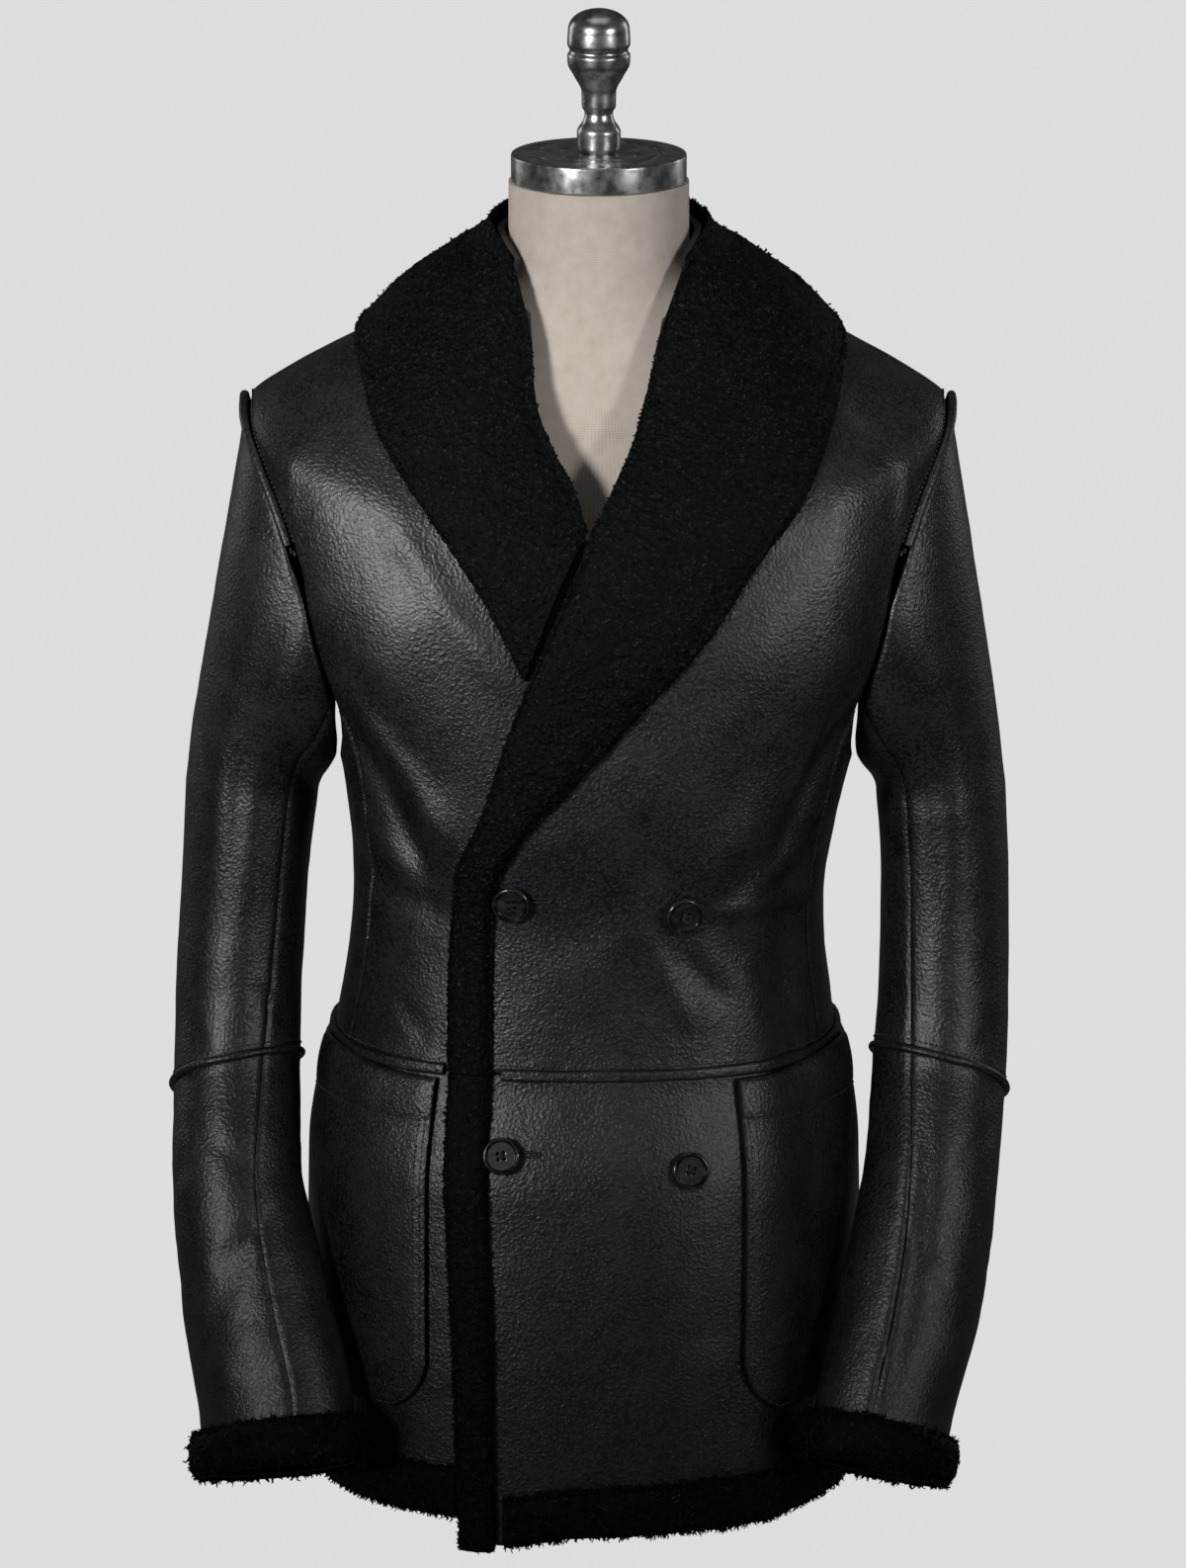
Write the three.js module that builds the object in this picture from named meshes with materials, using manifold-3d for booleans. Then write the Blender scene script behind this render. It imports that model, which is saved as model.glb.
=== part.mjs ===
// A double-breasted shearling coat, buttoned on a limbless tailor's dress form.
// Units are millimetres and +Z is up. The front faces -Y and the wearer's left is +X.
// The origin is the centre of the flat base on which the form stands.

import * as THREE from "three";
import { mergeVertices } from "three/addons/utils/BufferGeometryUtils.js";
import Module from "manifold-3d";

// Cloth
const WALL = 5; // shearling: skin with its short wool inside
const FUR = 8; // wool turned outwards on collar, facings, hem and cuffs
const SEAM_GAP = 0.4; // between neighbouring pieces
const FUR_GAP = 1.3; // between turned-back fur and the leather under it
const COLLAR_GAP = 1.6; // the same under the lapels and the collar
const HEM_GAP = 0.9; // the same at the hem and the cuffs
const LAP = 6.8; // how far the left front lies outside the right one
const WELT_RADIUS = 2.6;
const WELT_LIFT = 0.7; // between a half-round welt and the leather under it
const POCKET_WALL = 4;
// Between a pocket and the skirt behind it, whose lap is more curved on the left
const POCKET_GAP = { right: 1.9, left: 2.5 };

// Levels of the horizontal lines. A level is a ring's height at the front centre.
const HEM_LEVEL = 26;
const WAIST_LEVEL = 309;
const NECK_LEVEL = 760;
const STAND_TOP_LEVEL = 779;

// Angles round the body in degrees: 0 is the front centre, 90 the wearer's left, 180 the back centre.
const UNDERLAP_ANGLE = 33; // where the hidden edge of the right front runs
const LAP_END_ANGLE = 54; // from here the left front lies on the body surface again
const BACK_SEAM_ANGLE = 115;
const SKIRT_SEAM_ANGLE = 95;

// The armhole is an ellipse in angle and level on the body surface.
const ARMHOLE = { level: 558, halfHeight: 88, front: 35, back: 30 };

// The coat's outer surface, ring by ring from hem to collar top
const RINGS = [
  { level: 5, sideZ: 9, backZ: 5, centreX: -9, halfWidth: 163, frontY: -150, backY: 136, sideY: 0, power: 2.4 },
  { level: 120, sideZ: 121, backZ: 120, centreX: -9.5, halfWidth: 167, frontY: -152, backY: 140, sideY: 0, power: 2.4 },
  { level: 235, sideZ: 236, backZ: 235, centreX: -9, halfWidth: 168, frontY: -147, backY: 138, sideY: 0, power: 2.4 },
  { level: 309, sideZ: 309, backZ: 309, centreX: -8, halfWidth: 157, frontY: -130, backY: 116, sideY: 0, power: 2.4 },
  { level: 395, sideZ: 396, backZ: 397, centreX: -6, halfWidth: 147.5, frontY: -126, backY: 100, sideY: 0, power: 2.4 },
  { level: 470, sideZ: 490, backZ: 485, centreX: -1, halfWidth: 161, frontY: -136, backY: 112, sideY: 2, power: 2.4 },
  { level: 560, sideZ: 604, backZ: 590, centreX: 0, halfWidth: 212, frontY: -138, backY: 116, sideY: 4, power: 2.4 },
  { level: 640, sideZ: 703, backZ: 687, centreX: 0, halfWidth: 223, frontY: -124, backY: 100, sideY: 8, power: 2.4 },
  { level: 668, sideZ: 727, backZ: 720, centreX: 0, halfWidth: 193, frontY: -112, backY: 92, sideY: 9, power: 2.35 },
  { level: 700, sideZ: 750, backZ: 757, centreX: 1, halfWidth: 150, frontY: -96, backY: 82, sideY: 10, power: 2.3 },
  { level: 760, sideZ: 800, backZ: 812, centreX: 1, halfWidth: 68, frontY: -70, backY: 74, sideY: 6, power: 2.1 },
  { level: 790, sideZ: 828, backZ: 840, centreX: 1, halfWidth: 62.5, frontY: -66, backY: 70, sideY: 3, power: 2 },
  { level: 800, sideZ: 837, backZ: 849, centreX: 1, halfWidth: 62, frontY: -65.5, backY: 69, sideY: 3, power: 2 },
];

// The dress form inside the coat, on rings of the same kind, up to the foot of its neck
const FORM_RINGS = [
  { level: 0, sideZ: 0, backZ: 0, centreX: -4, halfWidth: 104, frontY: -60, backY: 84, sideY: 0, power: 2.2 },
  { level: 50, sideZ: 50, backZ: 50, centreX: -4, halfWidth: 125, frontY: -98, backY: 97, sideY: 0, power: 2.2 },
  { level: 110, sideZ: 110, backZ: 110, centreX: -4, halfWidth: 131, frontY: -110, backY: 101, sideY: 0, power: 2.2 },
  { level: 235, sideZ: 235, backZ: 235, centreX: -4, halfWidth: 134, frontY: -112, backY: 102, sideY: 0, power: 2.2 },
  { level: 395, sideZ: 395, backZ: 395, centreX: -3, halfWidth: 118, frontY: -98, backY: 78, sideY: 0, power: 2.2 },
  { level: 480, sideZ: 495, backZ: 490, centreX: 0, halfWidth: 138, frontY: -108, backY: 88, sideY: 2, power: 2.2 },
  { level: 560, sideZ: 600, backZ: 590, centreX: 0, halfWidth: 176, frontY: -110, backY: 92, sideY: 4, power: 2.2 },
  { level: 625, sideZ: 682, backZ: 672, centreX: 0, halfWidth: 197, frontY: -98, backY: 84, sideY: 8, power: 2.2 },
  { level: 660, sideZ: 716.5, backZ: 712, centreX: 0, halfWidth: 186, frontY: -88, backY: 76, sideY: 9, power: 2.2 },
  { level: 700, sideZ: 743.3, backZ: 746.3, centreX: 0.5, halfWidth: 150, frontY: -76, backY: 68, sideY: 10, power: 2.2 },
  { level: 745, sideZ: 777.6, backZ: 786.6, centreX: 0.5, halfWidth: 82, frontY: -62, backY: 62, sideY: 8, power: 2.1 },
  { level: 775, sideZ: 807.6, backZ: 813.6, centreX: 0.5, halfWidth: 56, frontY: -55, backY: 56, sideY: 0.5, power: 2 },
  { level: 847.6, sideZ: 847.6, backZ: 847.6, centreX: 0.5, halfWidth: 56, frontY: -55.5, backY: 56.5, sideY: 0.5, power: 2 },
];
const NECK_CAP = { radius: 54.5, height: 17, bottomZ: 848, rimRadius: 1.5, groove: 1.2, grooveRadii: [25, 38.6] };

// The seam between front and side panels, in degrees from the front centre
const SIDE_SEAM = [
  { level: 309, angle: 68 },
  { level: 512, angle: 62 },
];

// The left facing, lapel and collar from the waist seam to the back centre. Each row is one section across the fur:
// its rolled inner edge, its free outer edge, and how far it stands off the neck and shoulder between them.
const LEFT_FACING = [
  { rollAngle: -27, rollLevel: 309.5, edgeAngle: -17, edgeLevel: 309.5, rise: 0 },
  { rollAngle: -29, rollLevel: 380, edgeAngle: -18.6, edgeLevel: 376, rise: 0 },
  { rollAngle: -28, rollLevel: 430, edgeAngle: -18.8, edgeLevel: 420, rise: 0 },
  { rollAngle: -20, rollLevel: 477, edgeAngle: -13, edgeLevel: 457, rise: 0 },
  { rollAngle: -11, rollLevel: 536, edgeAngle: -3, edgeLevel: 495, rise: 0 },
  { rollAngle: -6.5, rollLevel: 576, edgeAngle: 4.5, edgeLevel: 540, rise: 0 },
  { rollAngle: -2.4, rollLevel: 620, edgeAngle: 14.5, edgeLevel: 585, rise: 0 },
  { rollAngle: 1, rollLevel: 667, edgeAngle: 24, edgeLevel: 630, rise: 1 },
  { rollAngle: 9, rollLevel: 714, edgeAngle: 40, edgeLevel: 664, rise: 3 },
  { rollAngle: 33, rollLevel: 760, edgeAngle: 67, edgeLevel: 692, rise: 7 },
  { rollAngle: 62, rollLevel: 784, edgeAngle: 88, edgeLevel: 700, rise: 12 },
  { rollAngle: 120, rollLevel: 785, edgeAngle: 130, edgeLevel: 706, rise: 12 },
  { rollAngle: 179.5, rollLevel: 785, edgeAngle: 179.5, edgeLevel: 714, rise: 10 },
];

// The same for the right lapel and collar, from where the left front covers it
const RIGHT_FACING = [
  { rollAngle: -0.8, rollLevel: 650, edgeAngle: -9, edgeLevel: 560, rise: 0 },
  { rollAngle: -3, rollLevel: 674, edgeAngle: -15, edgeLevel: 607, rise: 1 },
  { rollAngle: -8.5, rollLevel: 697, edgeAngle: -24, edgeLevel: 646, rise: 2 },
  { rollAngle: -20.5, rollLevel: 729, edgeAngle: -45, edgeLevel: 676, rise: 4 },
  { rollAngle: -38, rollLevel: 760, edgeAngle: -67, edgeLevel: 694, rise: 7 },
  { rollAngle: -62, rollLevel: 784, edgeAngle: -88, edgeLevel: 700, rise: 12 },
  { rollAngle: -120, rollLevel: 785, edgeAngle: -130, edgeLevel: 706, rise: 12 },
  { rollAngle: -179.5, rollLevel: 785, edgeAngle: -179.5, edgeLevel: 714, rise: 10 },
];

// The left front's edge below the waist seam and the right front's edge above the crossing and under the lap
const LEFT_SKIRT_EDGE = [
  { level: 5, angle: -23 },
  { level: 120, angle: -23.5 },
  { level: 235, angle: -25.5 },
  { level: 309, angle: -27 },
];
const RIGHT_FRONT_EDGE = [
  { level: 309, angle: 33 },
  { level: 425, angle: 33 },
  { level: 470, angle: 27 },
  { level: 560, angle: 10 },
  { level: 650, angle: -1.5 },
  { level: 674, angle: -4.5 },
  { level: 697, angle: -10 },
  { level: 729, angle: -22 },
  { level: 760, angle: -40 },
];

// Lower edge of the left skirt, which dips at its front corner
const LEFT_HEM = [
  { angle: -26, level: 12 },
  { angle: -18, level: 9 },
  { angle: -9, level: 13 },
  { angle: 0, level: 18 },
  { angle: 45, level: 21 },
  { angle: 95, level: 23 },
];
const HEM_BAND = 32; // height of the fur turned up at the hem
const SKIRT_FACING_WIDTH = 9.8; // degrees of the fur strip on the left front edge

// Soft folds of the leather: a ridge, or a trough where the depth is below zero, along a straight line
const FOLDS = [
  { fromAngle: -62, fromLevel: 500, toAngle: -36, toLevel: 415, width: 13, depth: -6 },
  { fromAngle: -50, fromLevel: 528, toAngle: -30, toLevel: 440, width: 12, depth: 4 },
  { fromAngle: 62, fromLevel: 505, toAngle: 40, toLevel: 430, width: 13, depth: -5 },
  { fromAngle: 29, fromLevel: 412, toAngle: 54, toLevel: 440, width: 9, depth: 3 },
  { fromAngle: 30, fromLevel: 395, toAngle: 56, toLevel: 345, width: 10, depth: -3 },
  { fromAngle: 135, fromLevel: 480, toAngle: 160, toLevel: 380, width: 16, depth: -4 },
  { fromAngle: -135, fromLevel: 485, toAngle: -158, toLevel: 385, width: 16, depth: -4 },
];

// Sleeve sections from the end of the cuff to the upper arm. `turn` swings the flat of the section to the front.
const SLEEVE = [
  { z: 34, rightX: -196, leftX: 167, y: -139, rightHalf: 51, leftHalf: 44.5, halfDepth: 38, turn: 30 },
  { z: 90, rightX: -201, leftX: 179, y: -116, rightHalf: 51, leftHalf: 44.5, halfDepth: 39, turn: 30 },
  { z: 150, rightX: -213.5, leftX: 195, y: -89, rightHalf: 48, leftHalf: 46, halfDepth: 41, turn: 28 },
  { z: 235, rightX: -226.5, leftX: 210, y: -51, rightHalf: 40, leftHalf: 42, halfDepth: 44, turn: 16 },
  { z: 285, rightX: -226.8, leftX: 214.5, y: -22, rightHalf: 39.5, leftHalf: 42, halfDepth: 47, turn: 8 },
  { z: 335, rightX: -225.7, leftX: 217.5, y: -7, rightHalf: 39.5, leftHalf: 41, halfDepth: 50, turn: 2 },
  { z: 400, rightX: -222, leftX: 218, y: 2, rightHalf: 39.5, leftHalf: 40, halfDepth: 53, turn: 0 },
  { z: 462, rightX: -217, leftX: 215.2, y: 4, rightHalf: 41.5, leftHalf: 40.5, halfDepth: 55, turn: 0 },
];
const ELBOW_Z = 285;
const ELBOW_TILT = 10; // the elbow seam is this much lower outside and higher inside
const CUFF_TOP_Z = 80;
const CUFF_END_Z = 53;

// Pockets
const POCKET = { inner: 31, outer: 93, topLevel: 306, bottomLevel: 92, cornerDegrees: 14, cornerHeight: 38 };
const POCKET_GAPE = 4; // how far the mouth stands off at the side
const POCKET_MOUTH_RISE = 4; // how far the mouth rises above the seam at the side

// Buttons
const BUTTON = { radius: 11.8, thickness: 4, rim: 2.2, dish: 1.3, holeRadius: 1, holeSpread: 2.6, standoff: 3 };
const SHANK = { radius: 1.5, gap: 0.8 }; // wound thread under a button
// `sink` is how far the flat facets of the leather lie inside its smooth surface at a button.
const BUTTONS = {
  button_upper_fastened: { angle: -14.5, level: 420, sink: 0 },
  button_upper_show: { angle: 18, level: 412.5, sink: -1 },
  button_lower_fastened: { angle: -13.5, level: 259, sink: 0 },
  button_lower_show: { angle: 18.5, level: 250, sink: 1.7 },
};

// Turned knob above the neck cap, as radius against height over the cap
const FINIAL = [
  { height: 0, radius: 0 },
  { height: 0, radius: 11 },
  { height: 4, radius: 13.4 },
  { height: 13, radius: 13.6 },
  { height: 21, radius: 9.5 },
  { height: 25, radius: 8.8 },
  { height: 29, radius: 10.6 },
  { height: 38, radius: 10.8 },
  { height: 48, radius: 15.5 },
  { height: 56, radius: 19.4 },
  { height: 61, radius: 19.6 },
  { height: 64, radius: 18 },
  { height: 68, radius: 19.6 },
  { height: 76, radius: 19.2 },
  { height: 84, radius: 15 },
  { height: 90, radius: 0 },
];

const MATERIALS = {
  leather: new THREE.MeshStandardMaterial({ color: 0x141416, roughness: 0.5, metalness: 0 }),
  fur: new THREE.MeshStandardMaterial({ color: 0x0d1212, roughness: 0.95, metalness: 0 }),
  horn: new THREE.MeshStandardMaterial({ color: 0x1c1a19, roughness: 0.25, metalness: 0 }),
  linen: new THREE.MeshStandardMaterial({ color: 0xcfc4ba, roughness: 0.9, metalness: 0 }),
  metal: new THREE.MeshStandardMaterial({ color: 0xb4b4b2, roughness: 0.3, metalness: 1 }),
};

const wasm = await Module();
wasm.setup();

const coat = new THREE.Group();

const mix = (from, to, share) => from + (to - from) * share;

// Goes from 0 to 1 without a corner while `value` goes from `start` to `end`.
const ramp = (value, start, end) => THREE.MathUtils.smoothstep((value - start) / (end - start), 0, 1);

// Reads one column of a table at `where`, through a smooth curve that never overshoots its rows.
function reader(table, key, by) {
  const xs = table.map((row, index) => (by ? row[by] : index));
  const ys = table.map((row) => row[key]);
  const steps = xs.slice(1).map((x, i) => x - xs[i]);
  const slopes = steps.map((step, i) => (ys[i + 1] - ys[i]) / step);
  const tangents = ys.map((_, i) => {
    if (i === 0) return slopes[0];
    if (i === ys.length - 1) return slopes[i - 1];
    const [before, after] = [slopes[i - 1], slopes[i]];
    if (before * after <= 0) return 0;
    const [near, far] = [2 * steps[i] + steps[i - 1], steps[i] + 2 * steps[i - 1]];
    return (near + far) / (near / before + far / after);
  });
  return (where) => {
    let i = xs.findIndex((x) => x > where) - 1;
    if (i < 0) i = where < xs[0] ? 0 : xs.length - 2;
    const s = (where - xs[i]) / steps[i];
    return (
      ys[i] * (1 + 2 * s) * (1 - s) ** 2 +
      tangents[i] * steps[i] * s * (1 - s) ** 2 +
      ys[i + 1] * s * s * (3 - 2 * s) +
      tangents[i + 1] * steps[i] * s * s * (s - 1)
    );
  };
}

function readers(table, by) {
  return Object.fromEntries(Object.keys(table[0]).map((key) => [key, reader(table, key, by)]));
}

// A closed ring for each level, with its own height at the front, sides and back
function ringSurface(table) {
  const ring = readers(table, "level");
  return (angle, level) => {
    const [s, c] = [Math.sin(THREE.MathUtils.degToRad(angle)), Math.cos(THREE.MathUtils.degToRad(angle))];
    const e = 2 / ring.power(level);
    const depth = (c > 0 ? ring.frontY(level) : ring.backY(level)) - ring.sideY(level);
    const endZ = c > 0 ? level : ring.backZ(level);
    return new THREE.Vector3(
      ring.centreX(level) + ring.halfWidth(level) * Math.sign(s) * Math.abs(s) ** e,
      ring.sideY(level) + depth * Math.abs(c) ** e,
      ring.sideZ(level) + (endZ - ring.sideZ(level)) * c * c,
    );
  };
}

const bodySurface = ringSurface(RINGS);

function bodyNormal(angle, level) {
  const across = bodySurface(angle + 0.5, level).sub(bodySurface(angle - 0.5, level));
  const up = bodySurface(angle, Math.min(level + 1, 800)).sub(bodySurface(angle, Math.max(level - 1, 5)));
  return across.cross(up).normalize();
}

// How far the folds raise the leather at an angle and level
function foldHeight(angle, level) {
  const around = ((angle + 540) % 360) - 180;
  return FOLDS.reduce((sum, fold) => {
    const scale = 2.6; // millimetres to a degree at the chest
    const [dx, dz] = [(fold.toAngle - fold.fromAngle) * scale, fold.toLevel - fold.fromLevel];
    const [px, pz] = [(around - fold.fromAngle) * scale, level - fold.fromLevel];
    const length = Math.hypot(dx, dz);
    const along = (px * dx + pz * dz) / length ** 2;
    const aside = (px * dz - pz * dx) / length;
    const ends = ramp(along, -0.15, 0.3) * (1 - ramp(along, 0.7, 1.15));
    return sum + fold.depth * ends * Math.exp(-((aside / fold.width) ** 2));
  }, 0);
}

// The point `lift` outside the coat's leather
function onBody(angle, level, lift = 0) {
  return bodySurface(angle, level).addScaledVector(bodyNormal(angle, level), lift + foldHeight(angle, level));
}

// How far the left front stands off where it covers the right one
const lapLift = (angle, level) =>
  LAP * (1 - ramp(angle, UNDERLAP_ANGLE + 3, LAP_END_ANGLE)) * (1 - ramp(level, 650, 730));

// A mesh from the outer and inner grids of a wall, closed round its rim. Grids are rows of points.
function addWall(name, material, outer, inner, closedAcross = false) {
  const [rows, columns] = [outer.length, outer[0].length];
  const points = [...outer.flat(), ...inner.flat()];
  const at = (side, i, j) => side * rows * columns + i * columns + (j % columns);
  const triangles = [];
  const quad = (a, b, c, d) => triangles.push(a, b, c, a, c, d);
  const across = closedAcross ? columns : columns - 1;
  for (let i = 0; i < rows - 1; i++) {
    for (let j = 0; j < across; j++) {
      quad(at(0, i, j), at(0, i, j + 1), at(0, i + 1, j + 1), at(0, i + 1, j));
      quad(at(1, i, j), at(1, i + 1, j), at(1, i + 1, j + 1), at(1, i, j + 1));
    }
  }
  for (let j = 0; j < across; j++) {
    quad(at(0, 0, j), at(1, 0, j), at(1, 0, j + 1), at(0, 0, j + 1));
    quad(at(0, rows - 1, j), at(0, rows - 1, j + 1), at(1, rows - 1, j + 1), at(1, rows - 1, j));
  }
  for (let i = 0; !closedAcross && i < rows - 1; i++) {
    quad(at(0, i, 0), at(0, i + 1, 0), at(1, i + 1, 0), at(1, i, 0));
    quad(at(0, i, columns - 1), at(1, i, columns - 1), at(1, i + 1, columns - 1), at(0, i + 1, columns - 1));
  }
  return addMesh(name, material, points, triangles);
}

// Six times the signed volume inside a set of triangles
function signedVolume(points, triangles) {
  let sum = 0;
  for (let i = 0; i < triangles.length; i += 3) {
    const [a, b, c] = [0, 1, 2].map((k) => points[triangles[i + k]]);
    sum += a.dot(b.clone().cross(c));
  }
  return sum;
}

function addMesh(name, material, points, triangles) {
  if (signedVolume(points, triangles) < 0) triangles.reverse();
  const geometry = new THREE.BufferGeometry().setFromPoints(points).setIndex(triangles);
  geometry.computeVertexNormals();
  return addGeometry(name, material, geometry);
}

function addGeometry(name, material, geometry) {
  const mesh = new THREE.Mesh(geometry, material);
  mesh.name = name;
  coat.add(mesh);
  return mesh;
}

// A grid of points from a function of two shares, u across and v along
function grid(across, along, point, closedAcross = false) {
  const columns = closedAcross ? across : across + 1;
  return Array.from({ length: along + 1 }, (_, i) =>
    Array.from({ length: columns }, (_, j) => point(j / across, i / along)),
  );
}

// Rounds the edges of a fur pad: 1 in its middle, thin at its rim.
const pad = (share, sharpness = 4) => 0.2 + 0.8 * (1 - Math.abs(2 * share - 1) ** sharpness);

// Half the armhole's spread in degrees at a level, with room added for a seam
function armholeSpread(level, spread, room) {
  const offset = (level - ARMHOLE.level) / (ARMHOLE.halfHeight + room);
  return Math.abs(offset) >= 1 ? 0 : (spread + room * 0.4) * Math.sqrt(1 - offset ** 2);
}

const sideSeam = reader(SIDE_SEAM, "angle", "level");
const rightFrontEdge = reader(RIGHT_FRONT_EDGE, "angle", "level");
const leftSkirtEdge = reader(LEFT_SKIRT_EDGE, "angle", "level");
const leftRollRow = reader(LEFT_FACING.slice(0, 11), "rollAngle", "rollLevel");
const leftHem = reader(LEFT_HEM, "level", "angle");
const ROLL_OVERHANG = 2.5; // degrees by which the fur stands past the edge of the front under it

const SEAM_TOP = SIDE_SEAM.at(-1).level;
const SEAM_DEGREES = 0.2; // half the gap at a seam that runs up the body
const WELT_CHANNEL = 3.8; // by how much panels and sleeve stop short of the armhole where the welt lies

// The welt on the armhole runs from these levels, in front and behind, up over the shoulder.
const WELT_END_LEVEL = { front: 594, back: 543 };

// The outer end of a front or back panel: side seam, then armhole, then shoulder seam
function panelSide(level, seamAngle, spread, towards, room, weltEnd) {
  const across = (seamAngle(SEAM_TOP) - 90) / spread;
  const seamTop = ARMHOLE.level - ARMHOLE.halfHeight * Math.sqrt(1 - across ** 2);
  if (level < seamTop) return seamAngle(level) + towards * SEAM_DEGREES;
  const channel = mix(0.6, WELT_CHANNEL, ramp(level, weltEnd - 30, weltEnd - 8));
  return 90 + towards * (armholeSpread(level, spread, room + channel) + SEAM_DEGREES);
}

// Rows of points between the waist seam and the neck, close together round the shoulder tip
const BODICE_LEVELS = [350, 390, 430, 465, 498, 530, 562, 590, 612, 629, 641, 648, 651, 666, 690, 716];

// A panel of the bodice between the waist seam and the neck
function addBodicePanel(name, across, sideAngle, edgeAngle, lift) {
  const levels = [WAIST_LEVEL + SEAM_GAP, ...BODICE_LEVELS, NECK_LEVEL - 1];
  const layer = (depth, room) =>
    levels.map((level) =>
      Array.from({ length: across + 1 }, (_, j) => {
        const angle = mix(sideAngle(level, room), edgeAngle(level), j / across);
        return onBody(angle, level, lift(angle, level) - depth);
      }),
    );
  return addWall(name, MATERIALS.leather, layer(0, 0), layer(WALL, 7));
}

// Fronts
const frontSeam = (level) => sideSeam(Math.min(level, SEAM_TOP));
const frontSide = (sign) => (level, room) =>
  sign * panelSide(level, frontSeam, ARMHOLE.front, -1, room, WELT_END_LEVEL.front);
addBodicePanel("front_right", 12, frontSide(-1), rightFrontEdge, () => 0);
addBodicePanel(
  "front_left",
  13,
  frontSide(1),
  (level) => leftRollRow(Math.min(level, 796)) + ROLL_OVERHANG,
  lapLift,
);

// Back halves, with a seam down the back centre
const backSide = (sign) => (level, room) =>
  sign * panelSide(level, () => BACK_SEAM_ANGLE, ARMHOLE.back, 1, room, WELT_END_LEVEL.back);
for (const [name, sign] of [["back_right", -1], ["back_left", 1]]) {
  addBodicePanel(name, 9, backSide(sign), () => sign * 179.85, () => 0);
}

// Side panels under the armholes
for (const [name, sign] of [["side_right", -1], ["side_left", 1]]) {
  const layer = (depth, room) =>
    grid(6, 6, (u, v) => {
      const across = mix(SIDE_SEAM.at(-1).angle, BACK_SEAM_ANGLE, u);
      const spread = across < 90 ? ARMHOLE.front : ARMHOLE.back;
      const bow = Math.sqrt(1 - ((across - 90) / spread) ** 2);
      const top = ARMHOLE.level - ARMHOLE.halfHeight * bow - 2 - room;
      const level = mix(WAIST_LEVEL + SEAM_GAP, top, v);
      const angle = mix(sideSeam(level) + 2 * SEAM_DEGREES, BACK_SEAM_ANGLE - 2 * SEAM_DEGREES, u);
      return onBody(sign * angle, level, -depth);
    });
  addWall(name, MATERIALS.leather, layer(0, 0), layer(WALL, 3));
}

// Skirts below the waist seam
function addSkirt(name, across, fromAngle, toAngle, hemLevel, lift) {
  const layer = (depth) =>
    grid(across, 6, (u, v) => {
      const hem = hemLevel(mix(fromAngle(WAIST_LEVEL), toAngle(WAIST_LEVEL), u));
      const level = mix(hem, WAIST_LEVEL - SEAM_GAP, v);
      const angle = mix(fromAngle(level), toAngle(level), u);
      return onBody(angle, level, lift(angle, level) - depth);
    });
  return addWall(name, MATERIALS.leather, layer(0), layer(WALL));
}
const still = (value) => () => value;
addSkirt(
  "skirt_right",
  16,
  still(-SKIRT_SEAM_ANGLE + SEAM_DEGREES),
  still(UNDERLAP_ANGLE),
  still(HEM_LEVEL + 2),
  still(0),
);
addSkirt(
  "skirt_left",
  16,
  (level) => leftSkirtEdge(level) + ROLL_OVERHANG,
  still(SKIRT_SEAM_ANGLE - SEAM_DEGREES),
  (angle) => leftHem(angle) + 2,
  lapLift,
);
addSkirt(
  "skirt_back",
  18,
  still(SKIRT_SEAM_ANGLE + SEAM_DEGREES),
  still(360 - SKIRT_SEAM_ANGLE - SEAM_DEGREES),
  still(HEM_LEVEL),
  still(0),
);

// Fur bands turned up at the hem
function addHemBand(name, across, fromAngle, toAngle, hemLevel, lift) {
  const layer = (top) =>
    grid(across, 3, (u, v) => {
      const angle = mix(fromAngle, toAngle, u);
      const level = hemLevel(angle) + HEM_BAND * v;
      return onBody(angle, level, lift(angle, level) + HEM_GAP + (top ? FUR * pad(v) : 0));
    });
  return addWall(name, MATERIALS.fur, layer(true), layer(false));
}
const hemSeam = SKIRT_SEAM_ANGLE + 0.3;
addHemBand("hem_right", 9, 0.6 - hemSeam, -24, still(HEM_LEVEL), still(0));
addHemBand("hem_left", 13, -13.2, hemSeam - 0.6, leftHem, lapLift);
addHemBand("hem_back", 18, hemSeam, 360 - hemSeam, still(HEM_LEVEL - 2), still(0));

// Fur strip on the left front edge below the waist seam
{
  const layer = (top) =>
    grid(3, 12, (u, v) => {
      const level = mix(leftHem(-20) - 0.5, WAIST_LEVEL - SEAM_GAP, v);
      const angle = leftSkirtEdge(level) + SKIRT_FACING_WIDTH * u * mix(0.8, 1, v);
      const low = LAP + FUR_GAP;
      return onBody(angle, level, low + (top ? FUR * pad(u) : 0));
    });
  addWall("facing_skirt_left", MATERIALS.fur, layer(true), layer(false));
}

// Thickness of the fur at the free edge of lapels and collar, as a share of FUR
const COLLAR_EDGE = 0.62;

// Facings, lapels and the two halves of the collar, each one piece of fur turned outwards
function addFacing(name, table, along, lift) {
  const row = readers(table);
  const layer = (top) =>
    grid(7, along, (u, v) => {
      const place = v * (table.length - 1);
      const angle = mix(row.rollAngle(place), row.edgeAngle(place), u);
      const level = mix(row.rollLevel(place), row.edgeLevel(place), u);
      const overhang = u === 0 ? 2.4 : 0;
      const bump = row.rise(place) * Math.sin(Math.PI * u ** 1.25);
      const edge = u > 0.5 ? COLLAR_EDGE * ramp(row.rollLevel(place), 440, 560) : 0;
      const fur = top ? FUR * Math.max(pad(u), edge) : 0;
      return onBody(angle, level, lift(angle, level) + COLLAR_GAP + overhang + bump + fur);
    });
  return addWall(name, MATERIALS.fur, layer(true), layer(false));
}
addFacing("facing_left", LEFT_FACING, 28, lapLift);
addFacing("facing_right", RIGHT_FACING, 18, still(0));

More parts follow.
